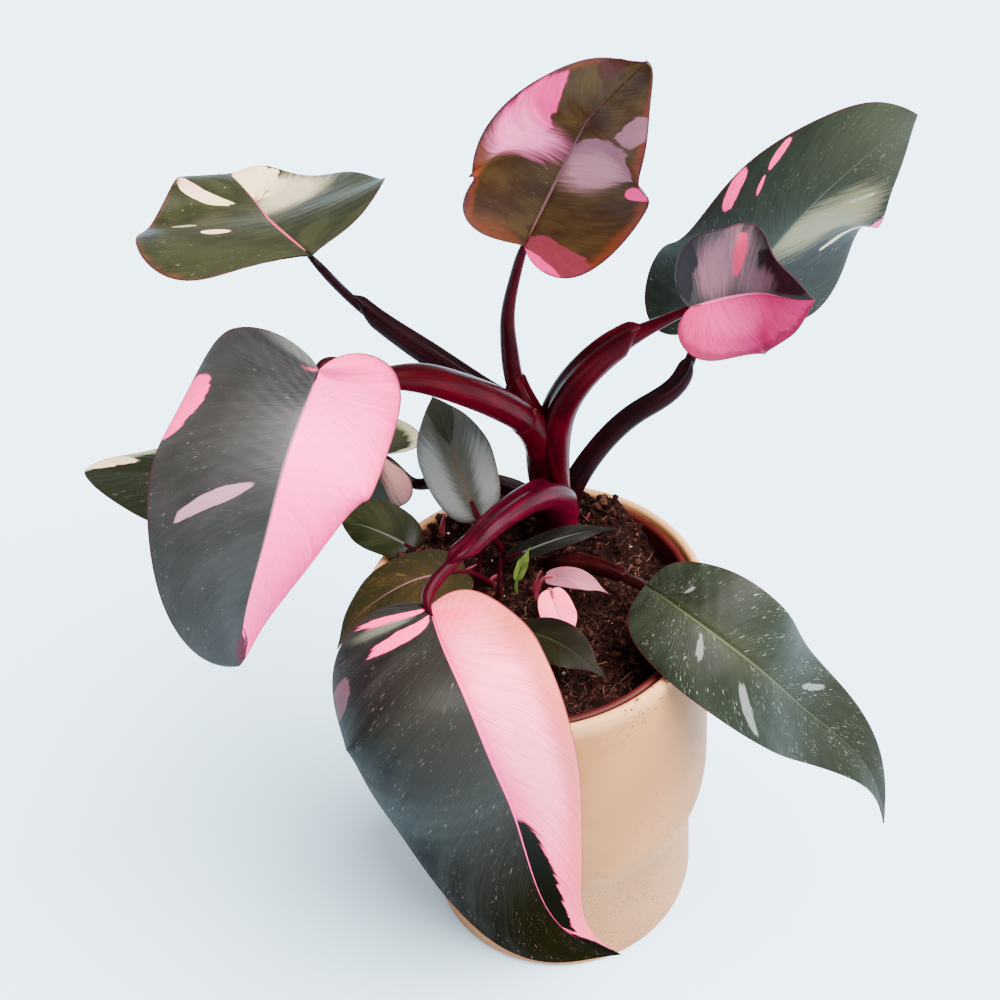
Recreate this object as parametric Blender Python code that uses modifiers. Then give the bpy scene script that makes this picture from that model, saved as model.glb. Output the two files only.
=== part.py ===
"""Pink princess philodendron in a nursery pot inside a beige cover pot.

Run it with blender --background --python part.py, or from Blender's text editor.
The origin is the centre of the cover pot's underside, X to the right, Y to the back, Z up.
Sizes are in millimetres until a mesh is made.
"""
import math

import bmesh
import bpy
import numpy as np

MM = 0.001
MERGE = 0.00005

# Cover pot
LIP_RADIUS = 70.0
POT_HEIGHT = 177.0
WALL = 3.5
FOOT_RADIUS = 62.0
CREASE_HEIGHT = 62.0
SHOULDER_HEIGHT = 88.0
FLOOR = 6.0
POT_STEPS = 48

# Nursery pot
NURSERY_RADIUS = 65.6
NURSERY_TOP = 173.0
NURSERY_BASE_RADIUS = 50.0
NURSERY_WALL = 1.4
RIM_STEP = 2.5
RIM_HEIGHT = 9.0
DRAIN_RADIUS = 4.0
DRAIN_CIRCLE = 34.0
DRAIN_COUNT = 5
DRAIN_DEPTH = 5.0

# Soil
SOIL_HEIGHT = 164.0
SOIL_RISE = 2.5
MOUND_HEIGHT = 17.0
MOUND_PLACE = (38.0, 44.0)
MOUND_REACH = 15.0
SOIL_RINGS = 9

# Leaves and stems
BLADE_THICK = 0.8
CLEARANCE = 0.35
SPLIT = 0.42
ROW_POWER = 1.5
STEM_SINK = 16.0
HOLE_ROOM = 0.5
HOLE_HEIGHT = 40.0
ROUND_SIDES = 16
MID_STEPS = 80
BLADE_ROWS = 14
BLADE_COLUMNS = 4
SHOOT_ROWS = 8
SHOOT_COLUMNS = 2


def unit(v):
    v = np.asarray(v, float)
    return v / (np.linalg.norm(v, axis=-1, keepdims=True) + 1e-12)


# Big blades: midrib from base to tip, the way the upper side faces at base and tip,
# half widths and lobes behind the base, and how each half folds and curls, in degrees.
# Left and right are as seen on the upper side with the tip pointing away.
BLADES = {
    "blade_front": dict(
        midrib=[(-35, -50, 226), (-30, -73, 228), (-25, -89, 226), (-20, -98, 207), (-15, -96, 169),
                (-9, -93, 105), (5, -84, 58), (20, -76, 31)],
        face=[(-0.2, -0.42, 0.88), (0.13, -0.97, 0.2)], half=(29, 47), lobe=(5, 9), widest=0.15, tip=0.23,
        fold=(-5, 33), curl=(-27, -73), stalk_side=1, colour=(0.03, 0.045, 0.035)),
    "blade_left": dict(
        midrib=[(-57, -27, 312), (-63, -33, 303), (-70, -48, 294), (-80, -60, 274), (-91, -62, 250),
                (-103, -56, 215)],
        face=[(0.02, -0.83, 0.56), (0.59, -0.8, 0.15)], half=(36, 45), lobe=(14, 7), widest=0.18, tip=0.02,
        fold=(-13, -3), curl=(-40, -50), stalk_room=0.6, colour=(0.06, 0.065, 0.065)),
    "blade_upper_left": dict(
        midrib=[(-60, 27, 323), (-75, 54, 323), (-89, 96, 315), (-99, 116, 316), (-108, 140, 304)],
        face=[(0.2, -0.4, 0.9), (-0.2, 0.9, 0.4)], half=(48, 44), lobe=(-9, -3), widest=0.26, tip=0.2,
        fold=(3, 8), curl=(-9, 7), colour=(0.1, 0.12, 0.07)),
    "blade_top": dict(
        midrib=[(12, 21, 320), (33, 17, 359), (37, 8, 369), (50, -1, 384), (50, -11, 389)],
        face=[(-0.05, -0.87, 0.5), (-0.17, -0.95, 0.27)], half=(43, 31), lobe=(1, 7), widest=0.37, tip=0.22,
        fold=(29, 9), curl=(57, 14), colour=(0.2, 0.08, 0.05)),
    "blade_right_pink": dict(
        midrib=[(68, 21, 288), (93, 16, 293), (99, 6, 296), (105, -3, 300)],
        face=[(0.0, -0.6, 0.8), (-0.2, -0.73, 0.65)], half=(32, 24), lobe=(5, 9), widest=0.33, tip=0.07,
        fold=(51, -23), curl=(21, -32), stalk_room=0.4, colour=(0.6, 0.2, 0.28)),
    "blade_far_right": dict(
        midrib=[(89, 71, 251), (103, 63, 277), (117, 52, 304), (138, 52, 323), (159, 67, 328)],
        face=[(0.2, -0.8, 0.53), (0.6, -0.73, 0.3)], half=(38, 44), lobe=(26, -3), widest=0.26, tip=0.08,
        fold=(4, -7), curl=(-18, -14), colour=(0.09, 0.12, 0.08)),
    "blade_back_left": dict(
        midrib=[(-57, 65, 207), (-91, 77, 207), (-136, 75, 203), (-163, 67, 212), (-179, 60, 220)],
        face=[(-0.11, -0.46, 0.88), (-0.17, -0.34, 0.93)], half=(34, 28), lobe=(24, 22), widest=0.4, tip=0.0,
        fold=(-28, -10), curl=(-45, -33), stalk_room=1.2, colour=(0.07, 0.09, 0.05)),
    "blade_low_right": dict(
        midrib=[(44, -16, 191), (60, -38, 190), (80, -48, 173), (103, -41, 135), (129, -43, 99), (140, -44, 57)],
        face=[(-0.05, -0.35, 0.93), (0.6, -0.6, 0.5)], half=(25, 25), lobe=(-1, -2), widest=0.23, tip=0.26,
        fold=(18, 6), curl=(-23, -31), colour=(0.06, 0.08, 0.055)),
}

# Petioles of the main stem, from the stem outward, with a radius at each point.
# Each one ends under the base of its blade.
PETIOLES = {
    "blade_front": (
        [(15, 41, 172), (17, 36, 190), (12, 26, 206), (0, 8, 218), (-12, -12, 226), (-22, -31, 232)],
        [7.0, 7.0, 6.4, 5.2, 3.8, 2.5]),
    "blade_left": (
        [(12, 34, 212), (10, 31, 232), (0, 21, 254), (-16, 6, 276), (-32, -7, 292), (-46, -17, 302)],
        [6.5, 6.5, 6.3, 5.8, 4.8, 3.0]),
    "blade_upper_left": (
        [(12, 37, 212), (8, 35, 234), (-6, 34, 252), (-29, 32, 277), (-43, 31, 293), (-53, 29, 308)],
        [5.5, 5.5, 4.6, 3.9, 2.5, 1.8]),
    "blade_top": (
        [(11, 35, 216), (9, 31, 240), (4, 30, 258), (3, 28, 275), (4, 26, 292), (8, 25, 307)],
        [5.5, 5.0, 4.2, 3.4, 2.6, 2.0]),
    "blade_right_pink": (
        [(14, 36, 196), (15, 33, 222), (20, 30, 245), (30, 27, 262), (45, 25, 275), (60, 23, 283)],
        [7.2, 7.2, 6.4, 5.6, 4.2, 2.1]),
    "blade_far_right": (
        [(16, 43, 176), (22, 46, 190), (35, 54, 204), (54, 62, 215), (72, 69, 222), (83, 79, 238)],
        [5.0, 5.0, 4.6, 4.2, 3.4, 2.0]),
    "blade_back_left": (
        [(12, 40, 182), (0, 46, 193), (-14, 50, 198), (-30, 55, 198), (-44, 60, 193)],
        [3.8, 3.5, 3.1, 2.8, 2.0]),
}
COLUMN = (
    [(14, 42, 168), (14, 39, 190), (12, 34, 216), (11, 32, 230)],
    [8.5, 8.2, 7.6, 6.0])
LOW_STEM = (
    [(8, 27, 167), (14, 21, 173), (27, 11, 178), (38, -4, 184)],
    [2.4, 3.6, 3.6, 2.2])

# Small shoots: each is one leaf on its thin stem, which starts in the soil
SHOOTS = {
    "shoot_grey": dict(
        midrib=[(-17, 23, 200), (-22, 29, 221), (-25, 31, 242), (-28, 32, 256)],
        face=[(-0.08, -0.95, 0.3), (-0.12, -0.91, 0.4)], half=(15, 15), lobe=(0, 0), widest=0.48, tip=0.05,
        fold=(3, 3), curl=(-10, -13), foot=(-8, 33), bend=(-12, 27, 184), radius=1.5, colour=(0.2, 0.2, 0.19)),
    "shoot_dark": dict(
        midrib=[(-46, 33, 179), (-55, 33, 188), (-64, 32, 196), (-72, 25, 206)],
        face=[(-0.17, -0.67, 0.72), (-0.3, -0.69, 0.66)], half=(9, 13), lobe=(1, 1), widest=0.48, tip=0.05,
        fold=(3, -2), curl=(-10, -13), foot=(-34, 37), bend=(-39, 35, 173), radius=1.2, colour=(0.06, 0.07, 0.05)),
    "shoot_olive": dict(
        midrib=[(-26, 14, 181), (-45, 4, 189), (-60, -5, 189), (-71, -11, 184), (-78, -15, 175)],
        face=[(-0.15, -0.3, 0.95), (-0.6, -0.3, 0.7)], half=(15, 15), lobe=(3, 3), widest=0.34, tip=0.2,
        fold=(4, 4), curl=(-12, -12), foot=(-16, 19), bend=(-19, 17, 173), radius=1.3, colour=(0.12, 0.1, 0.04)),
    "shoot_narrow": dict(
        midrib=[(-8, 24, 176), (6, 22, 183), (23, 21, 188), (41, 22, 187)],
        face=[(0.0, -0.6, 0.8), (0.1, -0.6, 0.8)], half=(4.5, 4.5), lobe=(0.5, 0.5), widest=0.45, tip=0.3,
        fold=(15, 15), curl=(0, 0), foot=(-12, 25), bend=(-11, 25, 172), radius=1.0, colour=(0.1, 0.12, 0.1)),
    "shoot_mauve": dict(
        midrib=[(7, 8, 178), (16, 2, 182), (24, -2, 181), (31, -5, 177)],
        face=[(0.1, -0.5, 0.85), (0.2, -0.5, 0.85)], half=(4.5, 4.5), lobe=(0.5, 0.5), widest=0.45, tip=0.25,
        fold=(8, 8), curl=(0, 0), foot=(2, 9), bend=(4, 9, 173), radius=0.9, colour=(0.7, 0.4, 0.45)),
    "shoot_oval": dict(
        midrib=[(8, -6, 184), (9, -13, 181), (12, -19, 175), (16, -23, 170)],
        face=[(-0.1, -0.6, 0.8), (0.1, -0.8, 0.55)], half=(7, 7), lobe=(1, 1), widest=0.45, tip=0.3,
        fold=(5, 5), curl=(-8, -8), foot=(3, -2), bend=(5, -3, 178), radius=0.9, colour=(0.75, 0.42, 0.45)),
    "shoot_bronze": dict(
        midrib=[(-5, -19, 177), (4, -28, 181), (15, -38, 180), (25, -47, 174)],
        face=[(0.1, -0.4, 0.9), (0.2, -0.5, 0.85)], half=(9, 9), lobe=(1, 1), widest=0.42, tip=0.3,
        fold=(6, 6), curl=(-8, -8), foot=(-9, -14), bend=(-8, -15, 171), radius=1.1, colour=(0.08, 0.07, 0.04)),
    "shoot_bright": dict(
        midrib=[(-5, 14, 173), (-3, 15, 178), (0, 17, 183), (2, 19, 186)],
        face=[(0.0, -0.9, 0.4), (0.0, -0.9, 0.4)], half=(2.6, 2.6), lobe=(0.3, 0.3), widest=0.4, tip=0.3,
        fold=(20, 20), curl=(0, 0), foot=(-6, 13), bend=(-6, 13, 169), radius=0.8, colour=(0.25, 0.35, 0.1)),
}
SHOOT_START = SOIL_HEIGHT + 3.5
SHOOT_SINK = 12.0


def spline(points, count):
    """Natural cubic spline through the points, sampled at equal steps of arc length."""
    p = np.asarray(points, float)
    t = np.concatenate([[0.0], np.cumsum(np.linalg.norm(np.diff(p, axis=0), axis=1))])
    h = np.diff(t)
    k = len(p)
    a = np.eye(k)
    b = np.zeros((k, p.shape[1]))
    for i in range(1, k - 1):
        a[i, i - 1:i + 2] = h[i - 1], 2 * (h[i - 1] + h[i]), h[i]
        b[i] = 6 * ((p[i + 1] - p[i]) / h[i] - (p[i] - p[i - 1]) / h[i - 1])
    m = np.linalg.solve(a, b)
    q = np.linspace(0.0, t[-1], 200)
    i = np.clip(np.searchsorted(t, q, side="right") - 1, 0, k - 2)
    hi = h[i][:, None]
    after = (q - t[i])[:, None]
    before = hi - after
    c = ((m[i] * before**3 + m[i + 1] * after**3) / (6 * hi)
         + (p[i] / hi - m[i] * hi / 6) * before + (p[i + 1] / hi - m[i + 1] * hi / 6) * after)
    s = np.concatenate([[0.0], np.cumsum(np.linalg.norm(np.diff(c, axis=0), axis=1))])
    at = np.linspace(0.0, s[-1], count)
    return np.stack([np.interp(at, s, c[:, j]) for j in range(c.shape[1])], 1), s[-1]


def bezier(points, t):
    p = np.asarray(points, float)
    t = t[:, None]
    return (1 - t)**3 * p[0] + 3 * (1 - t)**2 * t * p[1] + 3 * (1 - t) * t * t * p[2] + t**3 * p[3]


def half_outline(length, half, lobe, widest, tip, tau):
    """Edge of one half: u along the midrib, v across; round lobe, widest place, drawn-out tip."""
    a = widest * length
    low = bezier([(0, 0), (-1.25 * lobe, 0.2 * half), (-0.8 * lobe - 0.1 * a, half), (a, half)],
                 np.clip(tau / SPLIT, 0, 1))
    high = bezier([(a, half), (a + 0.5 * (length - a), half), (length - tip * length, 0.22 * half), (length, 0)],
                  np.clip((tau - SPLIT) / (1 - SPLIT), 0, 1))
    return np.where((tau < SPLIT)[:, None], low, high)


def blade_grid(spec, rows, columns):
    """Points of a blade: rows from base to tip, columns from the left edge to the right edge."""
    mid, length = spline(spec["midrib"], MID_STEPS + 1)
    tangent = unit(np.gradient(mid, axis=0))
    tau = np.linspace(0, 1, rows + 1)
    along = length * tau**ROW_POWER
    r = np.linspace(0, 1, columns + 1)[None, :, None]
    halves = []
    for side, sign in ((0, -1), (1, 1)):
        half = spec["half"][side]
        edge = half_outline(length, half, spec["lobe"][side], spec["widest"], spec["tip"], tau)
        start = np.stack([along, np.zeros_like(along)], 1)[:, None, :]
        bow = np.stack([along + 0.25 * (edge[:, 0] - along), 0.55 * edge[:, 1]], 1)[:, None, :]
        uv = (1 - r)**2 * start + 2 * r * (1 - r) * bow + r * r * edge[:, None, :]
        u, v = uv[..., 0], uv[..., 1]
        g = np.clip(u / length, 0, 1) * MID_STEPS
        i = np.clip(g.astype(int), 0, MID_STEPS - 1)
        part = (g - i)[..., None]
        place = mid[i] * (1 - part) + mid[i + 1] * part + np.minimum(u, 0)[..., None] * tangent[0]
        forward = unit(tangent[i] * (1 - part) + tangent[i + 1] * part)
        k = np.clip(u / length, 0, 1)[..., None]
        up = unit(unit(spec["face"][0]) * (1 - k) + unit(spec["face"][1]) * k)
        across = unit(np.cross(forward, up))
        normal = np.cross(across, forward)
        fold = math.radians(spec["fold"][side])
        bend = math.radians(spec["curl"][side]) / half
        if abs(bend) < 1e-6:
            out, rise = v * math.cos(fold), v * math.sin(fold)
        else:
            out = (np.sin(fold + bend * v) - math.sin(fold)) / bend
            rise = (math.cos(fold) - np.cos(fold + bend * v)) / bend
        halves.append(place + sign * across * out[..., None] + normal * rise[..., None])
    left, right = halves
    return np.concatenate([left[:, ::-1], right[:, 1:]], 1)


def clear_scene():
    for ob in list(bpy.data.objects):
        bpy.data.objects.remove(ob, do_unlink=True)


def material(name, colour, roughness):
    mat = bpy.data.materials.new(name)
    mat.use_nodes = True
    shader = mat.node_tree.nodes["Principled BSDF"]
    shader.inputs["Base Color"].default_value = (*colour, 1.0)
    shader.inputs["Roughness"].default_value = roughness
    shader.inputs["Metallic"].default_value = 0.0
    return mat


def collection(name):
    made = bpy.data.collections.new(name)
    bpy.context.scene.collection.children.link(made)
    return made


def add_mesh(name, points, faces, target):
    """Object from points in millimetres."""
    mesh = bpy.data.meshes.new(name)
    mesh.from_pydata([tuple(float(c) * MM for c in p) for p in points], [], faces)
    mesh.update()
    ob = bpy.data.objects.new(name, mesh)
    target.objects.link(ob)
    return ob


def finish(ob, mat):
    ob.data.materials.clear()
    ob.data.materials.append(mat)
    ob.data.shade_smooth()
    return ob


def apply_modifiers(ob):
    """Swap the object's mesh for its evaluated one and drop its modifiers."""
    graph = bpy.context.evaluated_depsgraph_get()
    mesh = bpy.data.meshes.new_from_object(ob.evaluated_get(graph))
    ob.modifiers.clear()
    ob.data = mesh
    return ob


def turned(name, profile, steps, target):
    """Solid of revolution from a profile in millimetres, whose outer side runs downwards."""
    edges = [(i, i + 1) for i in range(len(profile) - 1)]
    mesh = bpy.data.meshes.new(name)
    mesh.from_pydata([(r * MM, 0.0, z * MM) for r, z in profile], edges, [])
    ob = bpy.data.objects.new(name, mesh)
    target.objects.link(ob)
    screw = ob.modifiers.new("Turn", "SCREW")
    screw.steps = steps
    screw.render_steps = steps
    screw.use_merge_vertices = True
    screw.merge_threshold = MERGE
    screw.use_smooth_shade = True
    return ob


def round_corner(centre, radius, start, end, count):
    """Arc points of a profile, angles in degrees from the outward direction."""
    return [(centre[0] + radius * math.cos(math.radians(start + (end - start) * i / count)),
             centre[1] + radius * math.sin(math.radians(start + (end - start) * i / count)))
            for i in range(count + 1)]


def pot_profile():
    """Inside floor, inside wall, round lip, straight wall, rounded shoulder, crease, foot."""
    inner = LIP_RADIUS - WALL
    lip = round_corner((LIP_RADIUS - WALL / 2, POT_HEIGHT - WALL / 2), WALL / 2, 180, 0, 6)
    shoulder_drop = SHOULDER_HEIGHT - CREASE_HEIGHT
    shoulder_in = LIP_RADIUS - FOOT_RADIUS - 0.8
    shoulder = [(LIP_RADIUS - shoulder_in * (1 - math.cos(a)), SHOULDER_HEIGHT - shoulder_drop * math.sin(a))
                for a in (math.radians(15 * i) for i in range(1, 7))]
    foot = round_corner((FOOT_RADIUS - 3.0, 3.0), 3.0, 0, -90, 4)
    return ([(0.0, FLOOR), (FOOT_RADIUS - 10.0, FLOOR), (FOOT_RADIUS - WALL - 3.0, FLOOR + 4.0),
             (FOOT_RADIUS - WALL, CREASE_HEIGHT), (inner, SHOULDER_HEIGHT + 6.0)]
            + lip + [(LIP_RADIUS, SHOULDER_HEIGHT)] + shoulder
            + [(FOOT_RADIUS, CREASE_HEIGHT - 1.5)] + foot + [(0.0, 0.0)])


def nursery_profile():
    """Tapered thin pot with a turned rim, standing on the cover pot's floor."""
    low = FLOOR + CLEARANCE
    inner_base = NURSERY_BASE_RADIUS - NURSERY_WALL
    neck = NURSERY_RADIUS - RIM_STEP
    step = NURSERY_TOP - RIM_HEIGHT
    return [(0.0, low + NURSERY_WALL), (inner_base, low + NURSERY_WALL),
            (neck - NURSERY_WALL, step - RIM_STEP), (NURSERY_RADIUS - NURSERY_WALL, step + 1.0),
            (NURSERY_RADIUS - NURSERY_WALL, NURSERY_TOP), (NURSERY_RADIUS, NURSERY_TOP),
            (NURSERY_RADIUS, step), (neck, step - RIM_STEP - 1.0),
            (NURSERY_BASE_RADIUS, low), (0.0, low)]


def soil_lift(x, y):
    """Height of the soil's lumpy top above its level: it rises to the back, with a mound by the rim."""
    lumps = 0.9 * math.sin(0.31 * x + 1.0) * math.cos(0.27 * y) + 0.6 * math.sin(0.55 * y + 0.42 * x)
    reach = math.hypot(x - MOUND_PLACE[0], y - MOUND_PLACE[1]) / MOUND_REACH
    slope = SOIL_RISE * (0.5 + 0.5 * y / NURSERY_RADIUS)
    return lumps + slope + MOUND_HEIGHT * math.exp(-reach * reach)


def soil_profile():
    low = FLOOR + 2 * CLEARANCE + NURSERY_WALL
    neck = NURSERY_RADIUS - RIM_STEP - NURSERY_WALL - CLEARANCE
    base = NURSERY_BASE_RADIUS - NURSERY_WALL - CLEARANCE
    top = [(neck * i / SOIL_RINGS, SOIL_HEIGHT) for i in range(SOIL_RINGS + 1)]
    return top + [(neck, NURSERY_TOP - RIM_HEIGHT - RIM_STEP), (base, low), (0.0, low)]


def cut(ob, cutters):
    """Boolean cuts with closed cutters; the cutters are kept as hidden guides."""
    for cutter in cutters:
        cutter.hide_render = True
        cutter.display_type = "WIRE"
        bore = ob.modifiers.new("Cut " + cutter.name, "BOOLEAN")
        bore.operation = "DIFFERENCE"
        bore.object = cutter
    return ob


def cylinder(name, place, radius, height, target):
    """Closed upright cylinder standing on its place, in millimetres."""
    bm = bmesh.new()
    bmesh.ops.create_cone(bm, cap_ends=True, segments=ROUND_SIDES, radius1=radius * MM,
                          radius2=radius * MM, depth=height * MM)
    bmesh.ops.translate(bm, verts=bm.verts, vec=(place[0] * MM, place[1] * MM, (place[2] + height / 2) * MM))
    mesh = bpy.data.meshes.new(name)
    bm.to_mesh(mesh)
    bm.free()
    ob = bpy.data.objects.new(name, mesh)
    target.objects.link(ob)
    return ob


def tube(name, points, radii, samples, target, sink=0.0):
    """Tapered round stem along a smooth line, as a welded closed mesh, with an upright foot below it."""
    line, _ = spline([(*p, r) for p, r in zip(points, radii)], samples)
    if sink:
        line = np.concatenate([[line[0] - (0, 0, sink, 0)], line])
    curve = bpy.data.curves.new(name, "CURVE")
    curve.dimensions = "3D"
    curve.bevel_depth = 1.0
    curve.bevel_resolution = 2
    curve.use_fill_caps = True
    path = curve.splines.new("POLY")
    path.points.add(len(line) - 1)
    for point, (x, y, z, r) in zip(path.points, line):
        point.co = (x * MM, y * MM, z * MM, 1.0)
        point.radius = r * MM
    guide = bpy.data.objects.new(name + "_line", curve)
    target.objects.link(guide)
    graph = bpy.context.evaluated_depsgraph_get()
    mesh = bpy.data.meshes.new_from_object(guide.evaluated_get(graph))
    bpy.data.objects.remove(guide, do_unlink=True)
    bm = bmesh.new()
    bm.from_mesh(mesh)
    bmesh.ops.remove_doubles(bm, verts=bm.verts, dist=1e-6)
    bmesh.ops.recalc_face_normals(bm, faces=bm.faces)
    bm.to_mesh(mesh)
    bm.free()
    ob = bpy.data.objects.new(name, mesh)
    target.objects.link(ob)
    return ob


def fuse(name, pieces, target):
    """One Boolean union of all pieces, which are then removed."""
    first, rest = pieces[0], pieces[1:]
    group = bpy.data.collections.new(name + "_pieces")
    bpy.context.scene.collection.children.link(group)
    for piece in rest:
        target.objects.unlink(piece)
        group.objects.link(piece)
    union = first.modifiers.new("Fuse", "BOOLEAN")
    union.operation = "UNION"
    union.operand_type = "COLLECTION"
    union.collection = group
    union.solver = "EXACT"
    apply_modifiers(first)
    for piece in rest:
        bpy.data.objects.remove(piece, do_unlink=True)
    bpy.data.collections.remove(group)
    first.name = name
    return first


def blade(name, spec, rows, columns, target):
    """Thin solid blade: an open triangulated sheet, alike on both faces once it is thickened."""
    grid = blade_grid(spec, rows, columns)
    width = grid.shape[1]
    points = [grid[0, 0]] + [p for row in grid[1:-1] for p in row] + [grid[-1, 0]]
    last = len(points) - 1
    faces = [(0, 1 + j, 2 + j) for j in range(width - 1)]
    for i in range(rows - 2):
        for j in range(width - 1):
            a = 1 + i * width + j
            b, c, d = a + 1, a + 1 + width, a + width
            faces += [(a, d, c), (a, c, b)] if j < width // 2 else [(a, d, b), (b, d, c)]
    start = 1 + (rows - 2) * width
    faces += [(start + j, last, start + j + 1) for j in range(width - 1)]
    ob = add_mesh(name, points, faces, target)
    bm = bmesh.new()
    bm.from_mesh(ob.data)
    bmesh.ops.recalc_face_normals(bm, faces=bm.faces)
    bm.to_mesh(ob.data)
    bm.free()
    thick = ob.modifiers.new("Thickness", "SOLIDIFY")
    thick.thickness = BLADE_THICK * MM
    thick.offset = 0.0
    thick.use_even_offset = False
    return ob


def at_base(spec, radius, before):
    """Last point of a petiole, just clear of the blade's base: under it, or over one that hangs."""
    mid, _ = spline(spec["midrib"], MID_STEPS + 1)
    forward = unit(mid[1] - mid[0])
    up = unit(spec["face"][0])
    normal = unit(up - forward * np.dot(up, forward))
    side = spec.get("stalk_side", -1)
    slant = min(abs(float(np.dot(unit(mid[0] - np.asarray(before, float)), normal))), 1.0)
    reach = radius * 1.05 * math.sqrt(1.0 - slant * slant) + spec.get("stalk_room", 0.0)
    return tuple(mid[0] + forward + normal * side * (BLADE_THICK / 2 + CLEARANCE + reach))


def build_pots(target, cutters):
    cover = turned("cover_pot", pot_profile(), POT_STEPS, target)
    finish(cover, material("cover_pot", (0.69, 0.5, 0.35), 0.6))
    nursery = turned("nursery_pot", nursery_profile(), POT_STEPS, target)
    drains = []
    for i in range(DRAIN_COUNT):
        angle = 2 * math.pi * i / DRAIN_COUNT
        place = (DRAIN_CIRCLE * math.cos(angle), DRAIN_CIRCLE * math.sin(angle), FLOOR - 1.0)
        drains.append(cylinder("drain_cutter_%d" % (i + 1), place, DRAIN_RADIUS, DRAIN_DEPTH, cutters))
    cut(nursery, drains)
    finish(nursery, material("nursery_pot", (0.15, 0.012, 0.01), 0.5))


def build_soil(target, cutters):
    soil = apply_modifiers(turned("soil", soil_profile(), POT_STEPS, target))
    for vertex in soil.data.vertices:
        x, y, z = (c / MM for c in vertex.co)
        if z > SOIL_HEIGHT - 0.1:
            vertex.co.z += soil_lift(x, y) * MM
    feet = [(name, points[0], radii[0], STEM_SINK)
            for name, (points, radii) in (("main_foot", COLUMN), ("low_foot", LOW_STEM))]
    feet += [(name + "_foot", (*spec["foot"], SHOOT_START), spec["radius"], SHOOT_SINK)
             for name, spec in SHOOTS.items()]
    holes = []
    for name, place, radius, sink in feet:
        bottom = (place[0], place[1], place[2] - sink - HOLE_ROOM)
        holes.append(cylinder(name, bottom, radius + HOLE_ROOM, HOLE_HEIGHT, cutters))
    cut(soil, holes)
    finish(soil, material("soil", (0.035, 0.016, 0.012), 0.95))


def build_main_stem(target):
    pieces = [tube("main_stem", COLUMN[0], COLUMN[1], 10, target, STEM_SINK)]
    for name, (points, radii) in PETIOLES.items():
        end = at_base(BLADES[name], radii[-1] * 0.9, points[-1])
        pieces.append(tube("petiole_" + name, points + [end], radii + [radii[-1] * 0.9], 16, target))
    finish(fuse("main_stem", pieces, target), material("main_stem", (0.22, 0.006, 0.02), 0.3))


def build_low_stem(target):
    points, radii = LOW_STEM
    end = at_base(BLADES["blade_low_right"], 1.8, points[-1])
    stem = tube("low_stem", points + [end], radii + [1.8], 14, target, STEM_SINK)
    finish(stem, material("low_stem", (0.12, 0.008, 0.02), 0.4))


def build_blades(target):
    for name, spec in BLADES.items():
        finish(blade(name, spec, BLADE_ROWS, BLADE_COLUMNS, target), material(name, spec["colour"], 0.35))


def build_shoots(target):
    for name, spec in SHOOTS.items():
        sheet = apply_modifiers(blade(name, spec, SHOOT_ROWS, SHOOT_COLUMNS, target))
        mid, _ = spline(spec["midrib"], MID_STEPS + 1)
        points = [(*spec["foot"], SHOOT_START), spec["bend"], tuple(mid[3]), tuple(mid[14])]
        radii = [spec["radius"]] * 2 + [spec["radius"] * 0.9, spec["radius"] * 0.7]
        stem = tube(name + "_stem", points, radii, 10, target, SHOOT_SINK)
        finish(fuse(name, [sheet, stem], target), material(name, spec["colour"], 0.4))


def build():
    clear_scene()
    plant = collection("pink princess philodendron")
    cutters = collection("cutters")
    build_pots(plant, cutters)
    build_soil(plant, cutters)
    build_main_stem(plant)
    build_low_stem(plant)
    build_blades(plant)
    build_shoots(plant)


build()
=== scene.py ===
"""Looks of the pink princess philodendron: leaves, stems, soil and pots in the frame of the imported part.

Sizes are in millimetres until a mesh is made, and places repeat those of the part's source.
"""
import math
import random

import bmesh
import bpy
import numpy as np
from mathutils import Matrix, Vector


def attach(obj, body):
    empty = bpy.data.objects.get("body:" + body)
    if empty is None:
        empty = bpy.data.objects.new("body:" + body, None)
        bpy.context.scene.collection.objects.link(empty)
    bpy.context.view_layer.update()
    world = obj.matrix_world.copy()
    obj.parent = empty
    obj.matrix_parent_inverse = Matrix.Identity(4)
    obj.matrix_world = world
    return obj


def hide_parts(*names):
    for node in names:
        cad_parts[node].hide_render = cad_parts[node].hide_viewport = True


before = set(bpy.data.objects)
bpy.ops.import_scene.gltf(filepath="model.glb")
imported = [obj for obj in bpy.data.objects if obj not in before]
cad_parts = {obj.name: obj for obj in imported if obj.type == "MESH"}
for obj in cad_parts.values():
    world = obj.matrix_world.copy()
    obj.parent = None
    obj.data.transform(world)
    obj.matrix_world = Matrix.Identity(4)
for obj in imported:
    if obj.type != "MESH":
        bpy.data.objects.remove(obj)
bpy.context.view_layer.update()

MM = 0.001
# Cover pot
LIP_RADIUS = 70.0
POT_HEIGHT = 177.0
WALL = 3.5
FOOT_RADIUS = 62.0
CREASE_HEIGHT = 62.0
SHOULDER_HEIGHT = 88.0
FLOOR = 6.0

# Nursery pot
NURSERY_RADIUS = 65.6
NURSERY_TOP = 173.0
NURSERY_BASE_RADIUS = 50.0
NURSERY_WALL = 1.4
RIM_STEP = 2.5
RIM_HEIGHT = 9.0

# Soil
SOIL_HEIGHT = 164.0
SOIL_RISE = 2.5
MOUND_HEIGHT = 17.0
MOUND_PLACE = (38.0, 44.0)
MOUND_REACH = 15.0

# Leaves and stems
CLEARANCE = 0.35
SPLIT = 0.42
ROW_POWER = 1.5
STEM_SINK = 16.0
MID_STEPS = 80


def unit(v):
    v = np.asarray(v, float)
    return v / (np.linalg.norm(v, axis=-1, keepdims=True) + 1e-12)


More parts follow.
